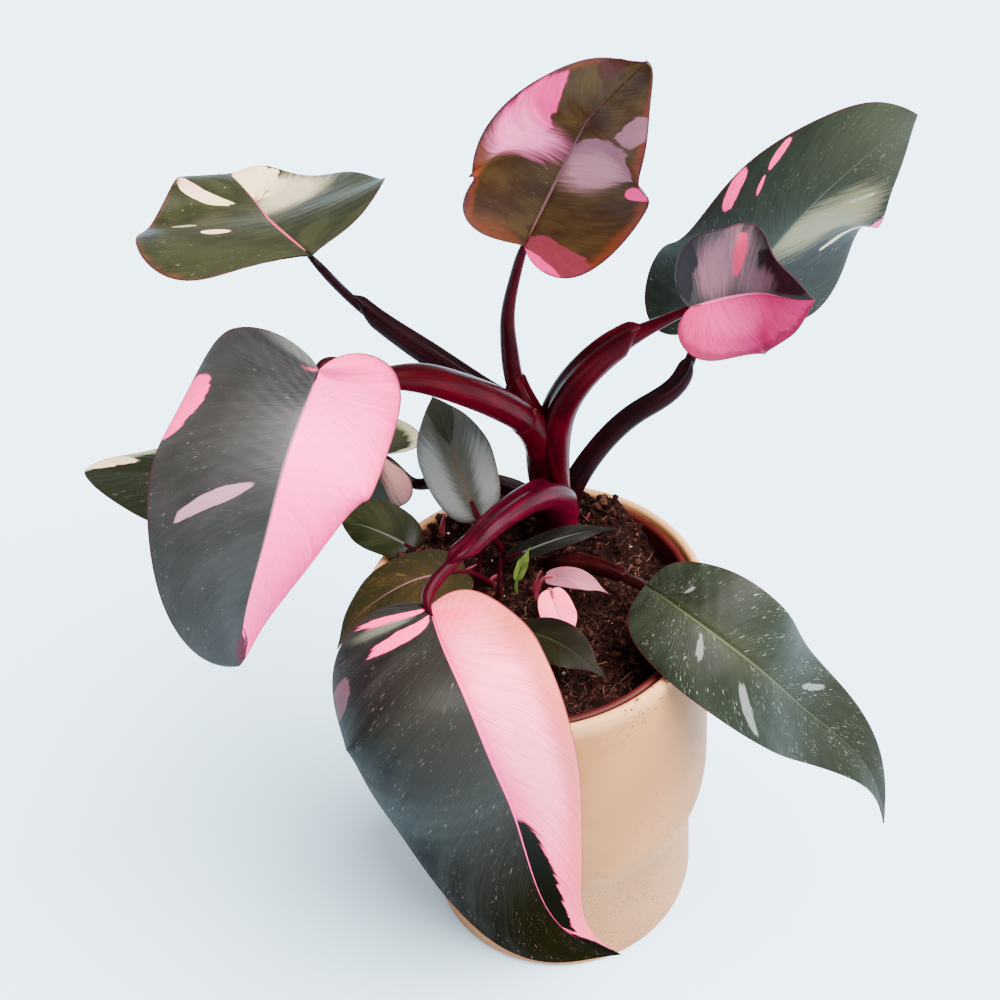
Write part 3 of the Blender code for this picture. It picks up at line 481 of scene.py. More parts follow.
# Marks of each leaf, painted in order over its two ground tones. Sides are -1 left or 1 right.
# half: a whole side, from its first colour to its last toward the edge and with the veins
# patch: centre (row, across) and reach along the rows and across, colour, how ragged its edge is
# blush: the same with a soft streaky edge, and its strength
# streaks: thin lines along the veins of one side, colour, strength
# margin: a band along one edge, where it starts across the half, colour
# specks: small spots near the base of one side
# dashes: fine flecks along the veins of one side, how many, colour
# under: the underside; rib: the midrib's line; veins: how many raised veins a side
MARKS = {
    "blade_front": dict(
        ground=(0.0045, 0.0045, 0.0036), second=(0.0125, 0.0128, 0.0105), gloss=(0.06, 0.0), lean=0.3,
        under=RED_BROWN, rib=BABY_PINK, veins=34,
        marks=[
            ("half", -1, (0.85, 0.055, 0.17), (0.55, 0.09, 0.1)),
            ("blush", (0.42, -0.4, 0.3, 0.4), (0.97, 0.19, 0.3), 0.95),
            ("blush", (0.2, -0.62, 0.17, 0.4), (0.9, 0.17, 0.2), 0.7),
            ("blush", (0.4, -1.0, 0.5, 0.32), (0.5, 0.1, 0.08), 0.85),
            ("blush", (0.08, -0.3, 0.1, 0.7), (0.8, 0.04, 0.12), 0.8),
            ("streaks", -1, (0.6, 0.05, 0.09), 0.6),
            # painted sheen: a lighter grey band near the midrib on the dark half
            ("blush", (0.45, 0.25, 0.35, 0.5), (0.0125, 0.0115, 0.009), 0.9),
            ("blush", (0.9, 0.5, 0.35, 1.2), (0.0035, 0.003, 0.0009), 1.0),
            ("patch", (0.72, -0.1, 0.14, 0.38), BLACK, 0.35),
            ("patch", (0.98, -0.3, 0.11, 1.3), BLACK, 0.3), ("patch", (0.105, 0.56, 0.034, 0.4), PINK, 0.4),
            ("patch", (0.175, 0.4, 0.036, 0.28), PINK, 0.4),
            ("blush", (0.18, 0.68, 0.035, 0.25), (0.09, 0.1, 0.07), 0.8),
            ("patch", (0.345, 0.92, 0.03, 0.1), (0.08, 0.035, 0.045), 0.5),
            ("dashes", 1, 0.7, (0.22, 0.15, 0.14)), ("specks", -1, RED_BROWN)]),
    "blade_left": dict(
        ground=(0.0145, 0.013, 0.0115), second=(0.022, 0.0205, 0.019), gloss=(0.2, 0.08), lean=0.26,
        under=RED_BROWN, rib=MAUVE, veins=30,
        marks=[
            ("half", -1, BABY_PINK, PINK), ("blush", (0.35, -0.5, 0.3, 0.4), (0.97, 0.07, 0.31), 0.85),
            ("streaks", -1, ROSE, 0.3), ("blush", (0.04, -0.3, 0.09, 0.6), DEEP_ROSE, 0.7),
            ("margin", -1, 0.93, ROSE), ("patch", (0.41, 0.93, 0.06, 0.17), PINK, 0.3),
            ("patch", (0.54, 0.45, 0.018, 0.28), (0.3, 0.13, 0.17), 0.45),
            ("patch", (1.0, -0.5, 0.1, 1.0), (0.05, 0.006, 0.014), 0.5),
            # painted sheen: a lighter grey patch on the upper lobe of the dark half
            ("blush", (0.05, 0.75, 0.12, 0.5), (0.08, 0.075, 0.07), 0.9),
            ("blush", (0.0, 0.2, 0.06, 0.3), ROSE, 0.8), ("dashes", 1, 0.2, (0.2, 0.16, 0.17))]),
    "blade_upper_left": dict(
        ground=DEEP_OLIVE, second=OLIVE, under=MAROON, rib=ROSE, veins=24,
        marks=[
            ("patch", (0.8, 0.46, 0.11, 0.56), CREAM, 0.5),
            ("blush", (0.64, 0.42, 0.13, 0.65), (0.4, 0.33, 0.2), 0.9),
            ("patch", (0.7, -0.62, 0.028, 0.38), CREAM, 0.4),
            ("patch", (0.73, -0.85, 0.02, 0.2), (0.7, 0.32, 0.3), 0.4),
            ("patch", (0.42, -0.4, 0.014, 0.1), CREAM, 0.4),
            ("patch", (0.5, -0.62, 0.01, 0.1), DULL_CREAM, 0.5),
            ("blush", (0.2, -0.6, 0.2, 0.5), OLIVE, 0.6), ("dashes", -1, 0.4, (0.2, 0.18, 0.1)),
            ("margin", -1, 0.97, (0.05, 0.02, 0.008))]),
    "blade_top": dict(
        ground=BRONZE, second=(0.05, 0.023, 0.004), gloss=(0.1, 0.14), under=MAROON, rib=MAUVE, veins=22,
        marks=[
            ("margin", -1, 0.84, AMBER), ("margin", 1, 0.88, AMBER),
            ("blush", (0.12, -0.7, 0.15, 0.5), AMBER, 0.8),
            ("patch", (0.66, -0.7, 0.09, 0.36), HOT_PINK, 0.3),
            ("blush", (0.58, -0.5, 0.1, 0.5), PALE_PINK, 0.95),
            ("patch", (0.56, 0.4, 0.12, 0.42), MAUVE, 0.35),
            ("blush", (0.5, 0.3, 0.1, 0.4), (0.4, 0.15, 0.17), 0.7),
            ("patch", (0.74, 0.8, 0.05, 0.26), MAUVE, 0.4),
            ("patch", (0.49, 0.88, 0.04, 0.18), HOT_PINK, 0.3),
            ("patch", (0.16, 0.5, 0.09, 0.6), (0.16, 0.015, 0.025), 0.35),
            ("patch", (0.1, 0.85, 0.08, 0.35), HOT_PINK, 0.3),
            ("patch", (0.86, -0.7, 0.05, 0.4), RED_BROWN, 0.3), ("margin", -1, 0.96, (0.06, 0.004, 0.008)),
            ("margin", 1, 0.97, (0.09, 0.01, 0.01)), ("dashes", -1, 0.3, (0.2, 0.12, 0.05))]),
    "blade_right_pink": dict(
        ground=(0.035, 0.03, 0.028), second=(0.02, 0.014, 0.013), under=MAROON, rib=PALE_PINK, veins=18,
        marks=[
            ("half", 1, (0.58, 0.016, 0.12), (0.4, 0.014, 0.09)),
            ("blush", (0.45, 0.3, 0.3, 0.35), (0.7, 0.035, 0.18), 0.8), ("margin", 1, 0.86, DEEP_ROSE),
            ("blush", (0.42, -0.5, 0.22, 0.6), MAUVE, 0.9),
            ("patch", (0.52, -0.55, 0.04, 0.3), (0.45, 0.02, 0.07), 0.35),
            ("patch", (0.78, -0.6, 0.17, 0.5), (0.012, 0.003, 0.004), 0.3),
            ("blush", (0.62, -0.2, 0.14, 0.3), MAUVE, 0.5),
            ("patch", (0.2, -0.8, 0.13, 0.42), (0.01, 0.006, 0.007), 0.4),
            ("blush", (0.34, -0.35, 0.1, 0.3), MAUVE, 0.7)]),
    "blade_far_right": dict(
        ground=FOREST, second=FERN, under=RED_BROWN, rib=SILVER, veins=28, lean=0.3,
        marks=[
            ("blush", (0.22, 0.0, 0.28, 1.3), (0.014, 0.0125, 0.0115), 0.9),
            ("blush", (0.75, 0.0, 0.35, 1.3), (0.02, 0.0215, 0.0115), 0.9),
            ("patch", (0.56, -0.9, 0.026, 0.1), PINK, 0.45),
            ("patch", (0.635, -0.87, 0.014, 0.09), PINK, 0.45),
            ("patch", (0.6, -0.72, 0.007, 0.06), PINK, 0.4),
            # painted sheen: a pale cream band across the right half
            ("blush", (0.61, 0.35, 0.17, 0.6), (0.2, 0.165, 0.09), 1.0),
            ("patch", (0.58, 0.98, 0.1, 0.1), BABY_PINK, 0.5),
            ("patch", (0.72, 0.55, 0.012, 0.16), DULL_CREAM, 0.5),
            ("patch", (0.5, 0.75, 0.014, 0.2), CREAM, 0.5), ("dashes", -1, 0.5, (0.2, 0.2, 0.15)),
            ("dashes", 1, 0.8, (0.28, 0.28, 0.2))]),
    "blade_back_left": dict(
        ground=FOREST, second=DEEP_OLIVE, under=RED_BROWN, rib=OLIVE, veins=28,
        marks=[
            ("margin", 1, 0.86, DULL_CREAM), ("patch", (0.86, 0.95, 0.1, 0.3), CREAM, 0.4),
            ("blush", (0.12, -0.8, 0.12, 0.5), (0.5, 0.2, 0.17), 0.9),
            ("patch", (0.72, -0.1, 0.01, 0.2), DULL_CREAM, 0.5),
            ("blush", (0.25, 0.6, 0.2, 0.5), OLIVE, 0.6), ("dashes", -1, 0.4, (0.2, 0.18, 0.12))]),
    "blade_low_right": dict(
        ground=FOREST, second=FERN, under=RED_BROWN, rib=(0.05, 0.06, 0.025), veins=26,
        marks=[
            ("blush", (0.4, 0.0, 0.4, 0.3), (0.015, 0.0175, 0.0075), 0.8),
            ("blush", (0.75, 0.0, 0.4, 1.3), (0.0095, 0.01, 0.0045), 0.9),
            ("dashes", -1, 1.1, (0.3, 0.3, 0.25)), ("dashes", 1, 1.1, (0.3, 0.3, 0.25)),
            ("patch", (0.46, 0.6, 0.011, 0.22), SILVER, 1.1),
            ("patch", (0.24, -0.45, 0.009, 0.1), SILVER, 1.1),
            ("patch", (0.62, -0.45, 0.012, 0.2), SILVER, 1.1),
            ("patch", (0.33, 0.3, 0.008, 0.16), SILVER, 1.1),
            ("patch", (0.98, 0.0, 0.05, 1.5), (0.03, 0.018, 0.006), 0.2)]),
    "shoot_grey": dict(
        ground=(0.03, 0.026, 0.019), second=(0.042, 0.038, 0.03), gloss=(0.2, 0.1), under=MAROON, rib=KHAKI,
        veins=18,
        marks=[
            ("blush", (0.4, -0.62, 0.36, 0.42), (0.13, 0.125, 0.115), 0.9),
            ("blush", (0.36, 0.62, 0.34, 0.42), (0.13, 0.125, 0.115), 0.9),
            # painted shadow: a dark patch over the tip, which is the top of this upright leaf
            ("patch", (0.97, 0.0, 0.25, 2.5), (0.013, 0.01, 0.004), 0.25)]),
    "shoot_dark": dict(
        ground=DEEP_OLIVE, second=OLIVE, under=MAROON, rib=SILVER, veins=14,
        marks=[
            ("blush", (0.15, 0.0, 0.14, 0.9), (0.05, 0.05, 0.045), 0.8)]),
    "shoot_olive": dict(
        ground=(0.024, 0.014, 0.004), second=(0.012, 0.01, 0.003), under=MAROON, rib=MAUVE, veins=18,
        marks=[
            ("dashes", 1, 1.3, (0.2, 0.12, 0.03)), ("dashes", -1, 1.3, (0.2, 0.12, 0.03))]),
    "shoot_narrow": dict(
        ground=(0.003, 0.0025, 0.0012), second=(0.01, 0.01, 0.008), under=MAROON, rib=SILVER, veins=12,
        marks=[]),
    "shoot_mauve": dict(
        ground=(0.3, 0.085, 0.12), second=(0.2, 0.06, 0.08), under=MAUVE, rib=MAUVE, veins=10,
        marks=[]),
    "shoot_oval": dict(
        ground=(0.88, 0.09, 0.18), second=(0.95, 0.16, 0.27), under=ROSE, rib=ROSE, veins=10,
        marks=[]),
    "shoot_bronze": dict(
        ground=(0.004, 0.0028, 0.001), second=(0.007, 0.006, 0.002), under=MAROON, rib=OLIVE, veins=14,
        marks=[]),
    "shoot_bright": dict(
        ground=(0.08, 0.12, 0.02), second=(0.04, 0.06, 0.01), under=OLIVE, rib=OLIVE, veins=8,
        marks=[]),
}


class LeafPaint:
    """Places on a leaf's upper side, the noise that follows its veins, and the masks of its marks.

    row goes from 0 at the base to 1 at the tip and leans tipward from the midrib like the veins,
    and across goes from -1 at the left edge to 1 at the right one.
    """

    def __init__(self, g, name, spec, look):
        _, length = spline(spec["midrib"], MID_STEPS + 1)
        self.g = g
        self.lean = look.get("lean", VEIN_LEAN)
        self.u, v = g.flow()
        self.across = v * 2.0 - 1.0
        self.side = abs(self.across)
        self.row = self.u - self.side * self.lean * (TIP_PLACE - self.u)
        self.along_mm = self.row * length
        self.across_mm = self.across * (sum(spec["half"]) / 2)
        self.seed = float(sum(ord(c) for c in name) % 97)
        self.wisp = self.grain(1.0, 0.06, 3.0, 13.0)
        fringe = self.grain(0.75, 0.13, 3.0, 0.0)
        coarse = self.grain(0.2, 0.07, 1.0, 17.0)
        self.jag = (fringe - 0.5) * 1.1 + (coarse - 0.5) * 1.5

    def grain(self, along, across, detail, shift):
        """Noise of so many cells to the millimetre along and across; few across draw it into streaks."""
        place = self.g.vector(self.along_mm * along, self.across_mm * across, self.seed + shift)
        return self.g.noise(place, 1.0, detail, 0.55)

    def past_rib(self, sign, low, high):
        """One side of the midrib, with limits in millimetres from it."""
        return self.g.steps(self.across_mm * sign, low, high)

    def on_side(self, sign, low, high):
        """One side of the midrib, with limits as shares of the half width."""
        return self.g.steps(self.across * sign, low, high)

    def keep_side(self, mask, across):
        """The mask on its own side of the midrib, unless it is centred there."""
        if abs(across) > 0.05:
            mask = mask * self.past_rib(math.copysign(1.0, across), 0.1, 0.5)
        return mask

    def oval(self, place):
        """Distance from a place as a share of its reach along the rows and across."""
        row, across, row_reach, across_reach = place
        along = (self.row - (row - abs(across) * self.lean * (TIP_PLACE - row))) / row_reach
        aside = (self.across - across) / across_reach
        return self.g.math("SQRT", along * along + aside * aside)

    def half(self, sign, first, last):
        fade_out = self.g.steps(self.side * 0.5 + self.wisp * 0.9, 0.55, 1.05)
        return self.past_rib(sign, -0.15, 0.25), self.g.mix(fade_out, first, last)

    def patch(self, place, tint, ragged):
        mask = self.g.steps(self.oval(place) + self.jag * (ragged * 1.1), 1.06, 0.94)
        over_rib = place[3] >= 1.0
        return mask if over_rib else self.keep_side(mask, place[1]), tint

    def blush(self, place, tint, strength):
        mask = self.g.steps(self.oval(place) + (self.wisp - 0.5) * 0.9, 1.15, 0.35) * strength
        return self.keep_side(mask, place[1]), tint

    def streaks(self, sign, tint, strength):
        lines = self.g.steps(self.grain(1.6, 0.035, 3.0, 61.0), 0.5, 0.7) * strength
        return lines * self.on_side(sign, 0.02, 0.1), tint

    def margin(self, sign, start, tint):
        return self.g.steps(self.across * sign + self.jag * 0.12, start - 0.05, start + 0.06), tint

    def specks(self, sign, tint):
        spots = self.g.steps(self.grain(0.9, 0.9, 1.0, 23.0), 0.7, 0.74)
        near_base = self.g.steps(self.u, 0.3, 0.18) * 0.7
        return spots * near_base * self.on_side(sign, 0.0, 0.05), tint

    def dashes(self, sign, share, tint):
        limit = 0.745 - 0.04 * share
        flecks = self.g.steps(self.grain(1.5, 0.3, 1.0, 31.0 + sign), limit, limit + 0.04)
        thin = self.g.steps(self.grain(3.4, 0.4, 1.0, 37.0 + sign), limit - 0.03, limit + 0.02) * 0.6
        beds = self.g.steps(self.grain(0.1, 0.07, 1.0, 41.0 + sign), 0.42, 0.56)
        return self.g.math("MAXIMUM", flecks, thin) * beds * self.on_side(sign, 0.0, 0.06) * 0.75, tint


def leaf_material(name, spec, look):
    """Upper side of a leaf: two ground tones, its marks in order, streaks, midrib, rim and relief."""
    g = Graph(name + "_upper")
    leaf = LeafPaint(g, name, spec, look)
    marks = {"half": leaf.half, "patch": leaf.patch, "blush": leaf.blush, "streaks": leaf.streaks,
             "margin": leaf.margin, "specks": leaf.specks, "dashes": leaf.dashes}
    base_gloss, tip_gloss = look.get("gloss", LEAF_GLOSS)
    gloss = g.steps(leaf.u, 0.25, 0.75) * (tip_gloss - base_gloss) + base_gloss
    g.put(g.shader.inputs["Specular IOR Level"], gloss)
    fine = leaf.grain(2.6, 0.11, 2.0, 5.0)
    broad = leaf.grain(0.08, 0.05, 2.0, 9.0)
    veins = leaf.grain(0.7, 0.012, 3.0, 51.0)
    colour = g.mix(g.steps(broad * 0.75 + leaf.wisp * 0.25, 0.36, 0.66), look["ground"], look["second"])
    for kind, *values in look["marks"]:
        mask, tint = marks[kind](*values)
        colour = g.mix(mask, colour, tint)
    colour = g.scale(colour, (fine - 0.5) * 0.4 + (veins - 0.5) * 0.35 + 1.0)
    rib = g.steps(abs(leaf.across_mm) / ((1.05 - leaf.u) * 0.9), 1.0, 0.5)
    colour = g.mix(rib * 0.65, colour, look["rib"])
    colour = g.mix(g.steps(leaf.side, 0.975, 0.99) * 0.7, colour, MAROON)
    g.bump(veins * 0.9 + (fine * 0.3 + leaf.wisp * 0.3), 0.0004, 0.5)
    return g.finish(colour, leaf.wisp * 0.16 + fine * 0.12 + 0.32)


def mottled(name, first, last, scale, low, high, rough=0.5, specular=0.12, detail=3.0, relief=0.0):
    """Two tones mixed in clouds, with a rough surface where a relief in metres is given."""
    g = Graph(name, rough, specular)
    cloud = g.noise(g.place(), scale, detail, 0.65 if relief else 0.5)
    if relief:
        g.bump(cloud, relief, 0.9)
    return g.finish(g.mix(g.steps(cloud, low, high), first, last))


def under_material(name, tone):
    """Underside of a leaf: its own tone, mottled with a darker one."""
    return mottled(name + "_under", tone, tuple(c * 0.45 for c in tone), 300.0, 0.35, 0.65)


def solid(name, points, faces, mats, crease, flows=None, slots=None):
    """Smooth mesh object from points in millimetres, with its flow map and a material for each face."""
    mesh = bpy.data.meshes.new(name)
    mesh.from_pydata([tuple(np.asarray(p, float) * MM) for p in points], [], faces)
    mesh.shade_smooth()
    if flows:
        layer = mesh.uv_layers.new(name="Flow")
        layer.data.foreach_set("uv", [c for face in flows for corner in face for c in corner])
        mesh.polygons.foreach_set("material_index", slots)
    bm = bmesh.new()
    bm.from_mesh(mesh)
    bmesh.ops.recalc_face_normals(bm, faces=bm.faces)
    bm.to_mesh(mesh)
    bm.free()
    mesh.set_sharp_from_angle(angle=math.radians(crease))
    for mat in mats:
        mesh.materials.append(mat)
    piece = bpy.data.objects.new(name, mesh)
    bpy.context.scene.collection.objects.link(piece)
    return piece


def fit(piece, node=None):
    """Put a piece on the one body and in place of its node."""
    if node:
        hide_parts(node)
    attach(piece, "root")


def leaf_skins(name, spec, rows, columns, thick, waves):
    """Upper and lower surface: a groove and a ridge along the midrib, raised veins, a thin wavy rim."""
    grid = blade_grid(spec, rows, columns)
    normal = unit(np.cross(np.gradient(grid, axis=1), np.gradient(grid, axis=0)))
    if np.dot(normal[rows // 4, columns + 2], unit(spec["face"][0])) < 0:
        normal = -normal
    normal[0] = normal[1]
    normal[-1] = normal[-2]
    tau = np.linspace(0, 1, rows + 1)[:, None]
    across = np.linspace(-1, 1, grid.shape[1])[None, :]
    half = sum(spec["half"]) / 2
    from_rib = np.abs(across) * half * np.sin(np.pi * np.clip(tau, 0.02, 0.98))**0.5
    size = (1.0 - 0.85 * tau) * min(1.0, half / 20)
    rim = np.clip((1 - np.abs(across)) / 0.06, 0, 1)
    groove = 0.5 * size * np.exp(-(from_rib / (0.9 * size + 0.3))**2)
    ridge = 1.5 * size * np.exp(-(from_rib / (1.1 * size + 0.25))**2)
    puff = 0.05 * np.sin(2 * np.pi * tau * MARKS[name]["veins"])
    puff = puff * np.clip(from_rib / 4, 0, 1) * rim * min(1, half / 25)
    sway = waves * np.abs(across)**3 * np.sin(np.pi * tau)
    sway = sway * np.sin(2 * np.pi * 3.5 * tau + 1.7 * np.sign(across))
    base = grid + normal * sway[..., None]
    body = thick * (0.45 + 0.55 * rim)
    top = base + normal * (body / 2 - groove + puff)[..., None]
    low = base - normal * (body / 2 + ridge - puff)[..., None]
    return top, low


def leaf_mesh(name, spec, rows, columns, thick, waves):
    """Closed leaf from its two skins and the rim between them; each end is a single point."""
    skins = leaf_skins(name, spec, rows, columns, thick, waves)
    last = 2 * columns
    points, number = [], {}
    for skin, surface in enumerate(skins):
        for i in range(rows + 1):
            for j in ([columns] if i in (0, rows) else range(last + 1)):
                number[skin, i, j] = len(points)
                points.append(surface[i, j])

    def at(skin, i, j):
        return number[skin, i, columns if i in (0, rows) else j]

    faces, flows, slots = [], [], []
    for skin in (0, 1):
        for i in range(rows):
            for j in range(last):
                corners = [(i, j), (i, j + 1), (i + 1, j + 1), (i + 1, j)]
                ring = {}
                for a, b in (corners if skin else corners[::-1]):
                    ring.setdefault(at(skin, a, b), (a / rows, b / last))
                faces.append(list(ring))
                flows.append(list(ring.values()))
                slots.append(skin)
    for j in (0, last):
        for i in range(rows):
            ring = [at(0, i, j), at(0, i + 1, j), at(1, i + 1, j), at(1, i, j)]
            faces.append(ring if j else ring[::-1])
            flows.append([((i + 0.5) / rows, j / last)] * 4)
            slots.append(0)
    mats = [leaf_material(name, spec, MARKS[name]), under_material(name, MARKS[name]["under"])]
    return solid(name + "_leaf", points, faces, mats, LEAF_CREASE, flows, slots)


def sweep(line, sides, slot=0, shape=None, up=(0.0, -0.2, 1.0)):
    """Closed tube along (x, y, z, radius) rows; shape gives a factor for each place and angle."""
    line = np.asarray(line, float)
    centre, radius = line[:, :3], line[:, 3]
    tangent = unit(np.gradient(centre, axis=0))
    side = unit(np.cross(tangent, np.asarray(up, float)))
    top = np.cross(side, tangent)
    count = len(line)
    points, faces, flows = [], [], []
    for i in range(count):
        for k in range(sides):
            angle = 2 * math.pi * k / sides
            factor = shape(i / (count - 1), angle) if shape else 1.0
            spoke = math.cos(angle) * top[i] + math.sin(angle) * side[i]
            points.append(centre[i] + radius[i] * factor * spoke)
    for i in range(count - 1):
        for k in range(sides):
            n = (k + 1) % sides
            faces.append([i * sides + k, i * sides + n, (i + 1) * sides + n, (i + 1) * sides + k])
            corners = ((i, k), (i, k + 1), (i + 1, k + 1), (i + 1, k))
            flows.append([(a / count, b / sides) for a, b in corners])
    faces += [list(range(sides))[::-1], [(count - 1) * sides + k for k in range(sides)]]
    flows += [[(0.0, 0.5)] * sides, [(1.0, 0.5)] * sides]
    return points, faces, flows, slot


def join_parts(name, parts, mats):
    """One mesh object from (points, faces, flows, material index) parts."""
    points, faces, flows, slots = [], [], [], []
    for part_points, part_faces, part_flows, slot in parts:
        start = len(points)
        points += part_points
        faces += [[start + i for i in face] for face in part_faces]
        flows += part_flows
        slots += [slot] * len(part_faces)
    return solid(name, points, faces, mats, JOINED_CREASE, flows, slots)


def stem_material(name, bright, dark):
    """Glossy stalk in a lit and a shaded tone of its colour: painted light on the lower side, painted shade
    on the channel and shoulders on top, and long fine streaks in the same two tones.
    """
    g = Graph(name, specular=0.03)
    u, v = g.flow()
    # painted light and shade: the lower side of the stalk is lighter and its top darker
    painted_top_shade = g.math("COSINE", v * (2 * math.pi))
    streak = g.noise(g.vector(u * 6.0, v * 26.0, 3.0), 1.0, 3.0)
    cloud = g.noise(g.place(), 90.0, 2.0)
    shade = painted_top_shade * 0.3 + (streak + cloud * 0.5)
    g.bump(streak, 0.0004, 0.5)
    return g.finish(g.mix(g.steps(shade, 0.35, 1.25), bright, dark), streak * 0.16 + 0.2)


# Share of each petiole that its sheath covers, and the sheath's radius at its end
SHEATHS = {
    "blade_front": (0.86, 4.6), "blade_left": (0.28, 6.2), "blade_upper_left": (0.82, 3.5),
    "blade_top": (0.45, 4.2), "blade_right_pink": (0.82, 4.5), "blade_far_right": (0.76, 4.0),
    "blade_back_left": (0.4, 3.1),
}
LOW_SHEATH = (0.72, 3.4)
LOW_FOOT_SIDES = 20
# How much stouter a petiole is than in the part, and which ones aren't crimson
STOUT = {"blade_back_left": 1.25}
CRIMSON, DARK, MAGENTA = 0, 1, 2
STEM_TONES = {"blade_upper_left": DARK, "blade_far_right": DARK, "blade_back_left": DARK,
              "blade_front": MAGENTA}
# Where a stalk enters its blade, its radius there as a share of its last one, and its last bit inside
ENTRY_SHARE = 0.65
LOW_ENTRY = 1.8
INNER_RADIUS = 0.5


def tapered(points, radii, steps):
    """Smooth (x, y, z, radius) rows through the points."""
    return spline([(*p, r) for p, r in zip(points, radii)], steps)[0]


def sunk(line, depth):
    """The rows with one more, straight below the first."""
    return np.concatenate([[line[0] - (0, 0, depth, 0)], line])


def petiole_parts(points, radii, cover, slot):
    """A round stalk and the channelled sheath that wraps its lower part and ends in an ear."""
    covered, ear = cover
    line = tapered(points, radii, PETIOLE_STEPS)
    share = np.linspace(0, 1, PETIOLE_STEPS)
    slim = line.copy()
    slim[:, 3] *= np.interp(share, [0, covered - 0.1, covered + 0.06, 1], [0.84, 0.84, 0.97, 1.0])
    last = int(PETIOLE_STEPS * covered)
    coat = line[:last].copy()
    run = share[:last] / covered
    coat[:, 3] += (ear - coat[-1, 3]) * run**3
    coat[:, 2] += 0.1 * coat[:, 3] * run**2

    def channel(s, angle):
        """A gully between two wings along the top, closing to an ear on the upper side."""
        turn = (angle + math.pi) % (2 * math.pi) - math.pi
        wings = 0.09 * math.exp(-((abs(turn) - 0.6) / 0.28)**2)
        gully = 0.2 * math.exp(-(turn / 0.33)**2)
        close = (s - 0.86 - 0.09 * (0.5 + 0.5 * math.cos(angle))) / 0.05
        close = min(max(close, 0.0), 1.0)
        return (1.0 + wings - gully) * (1 - close * close * 0.75)

    return [sweep(slim, STALK_SIDES, slot), sweep(coat, SHEATH_SIDES, slot, channel)]


def stalk_end(spec, radius):
    """Where a stalk meets its blade, on the side it comes from, and where it has melted into the midrib."""
    mid, _ = spline(spec["midrib"], MID_STEPS + 1)
    inward = unit(mid[1] - mid[0])
    up = unit(spec["face"][0])
    away = unit(up - inward * np.dot(up, inward)) * spec.get("stalk_side", -1)
    return [tuple(mid[0] + away * (radius + 0.2)), tuple(mid[0] + inward * 5.0 + away * 0.6)]


def build_main_stem():
    mats = [stem_material("stem_crimson", (0.05, 0.0004, 0.0035), (0.011, 0.0003, 0.001)),
            stem_material("stem_dark", (0.014, 0.0012, 0.0025), (0.003, 0.0007, 0.001)),
            stem_material("stem_magenta", (0.07, 0.0007, 0.009), (0.011, 0.0004, 0.0016))]
    column = sunk(tapered(*COLUMN, STALK_STEPS), STEM_SINK)
    parts = [sweep(column, SHEATH_SIDES, CRIMSON, up=(0.0, -1.0, 0.0))]
    for name, (points, radii) in PETIOLES.items():
        radii = [r * STOUT.get(name, 1.0) for r in radii]
        entry = radii[-1] * ENTRY_SHARE
        path = points + stalk_end(BLADES[name], entry)
        parts += petiole_parts(path, radii + [entry, INNER_RADIUS], SHEATHS[name],
                               STEM_TONES.get(name, CRIMSON))
    fit(join_parts("stems", parts, mats), "main_stem")


def build_low_stem():
    points, radii = LOW_STEM
    path = points + stalk_end(BLADES["blade_low_right"], LOW_ENTRY)
    parts = petiole_parts(path, radii + [LOW_ENTRY, INNER_RADIUS], LOW_SHEATH, 0)
    x, y, z = points[0]
    foot = [(x, y, z - STEM_SINK, radii[0]), (x, y, z + 0.5, radii[0])]
    parts.append(sweep(foot, LOW_FOOT_SIDES, up=(0, -1, 0)))
    mat = stem_material("stem_low", (0.035, 0.003, 0.0035), (0.011, 0.0012, 0.0014))
    fit(join_parts("low_stalk", parts, [mat]), "low_stem")


def build_leaves():
    for name, spec in BLADES.items():
        fit(leaf_mesh(name, spec, **LEAF), name)


# Thin sprigs between the small shoots: radius, and the places of each one from its foot up
SPRIGS = {
    "sprig_red": (0.9, [((-23, 18, 160), (-20, 18, 178), (-17, 19, 190)),
                        ((-13, 11, 160), (-12, 11, 178), (-10, 12, 191))]),
    "sprig_pink": (0.8, [((-29, 26, 161), (-27, 26, 169), (-21, 26, 173)),
                         ((-17, 21, 161), (-15, 21, 169), (-11, 21, 171)),
                         ((1, 12, 161), (2, 12, 170), (5, 12, 178))]),
    "sprig_sliver": (1.5, [((-34, 44, 160), (-35, 43, 176), (-32, 42, 189)),
                           ((27, 45, 162), (27, 44, 172), (29, 43, 179))]),
}
SPRIG_TIP = 0.25
SPRIG_STEPS = 24
SPRIG_SIDES = 10
SHOOT_UP = (0.3, -1.0, 0.2)
# Step of a small leaf's midrib at which its stalk has melted into it
MELT_STEP = 12


def build_shoots():
    red = stem_material("shoot_red", (0.07, 0.002, 0.008), (0.016, 0.0012, 0.003))
    pink = stem_material("shoot_pink", (0.5, 0.08, 0.13), (0.2, 0.02, 0.04))
    green = stem_material("shoot_green", (0.08, 0.11, 0.02), (0.03, 0.045, 0.01))
    mats = {"sprig_pink": pink, "sprig_sliver": pink,
            "shoot_mauve": pink, "shoot_oval": pink, "shoot_bright": green}
    for name, (thin, lines) in SPRIGS.items():
        twigs = [sweep(tapered(line, (thin, thin, SPRIG_TIP), SPRIG_STEPS), SPRIG_SIDES, up=SHOOT_UP)
                 for line in lines]
        fit(join_parts(name, twigs, [mats.get(name, red)]))
    for name, spec in SHOOTS.items():
        leaf = leaf_mesh(name, spec, **SMALL_LEAF)
        mid, _ = spline(spec["midrib"], MID_STEPS + 1)
        radius = spec["radius"]
        places = [(*spec["foot"], SHOOT_START), spec["bend"], mid[0], mid[MELT_STEP]]
        line = tapered(places, (radius, radius, radius * 0.9, radius * 0.5), STALK_STEPS)
        stalk = join_parts(name + "_stalk", [sweep(sunk(line, SHOOT_SINK), THIN_SIDES, up=SHOOT_UP)],
                           [mats.get(name, red)])
        fit(leaf, name)
        fit(stalk)


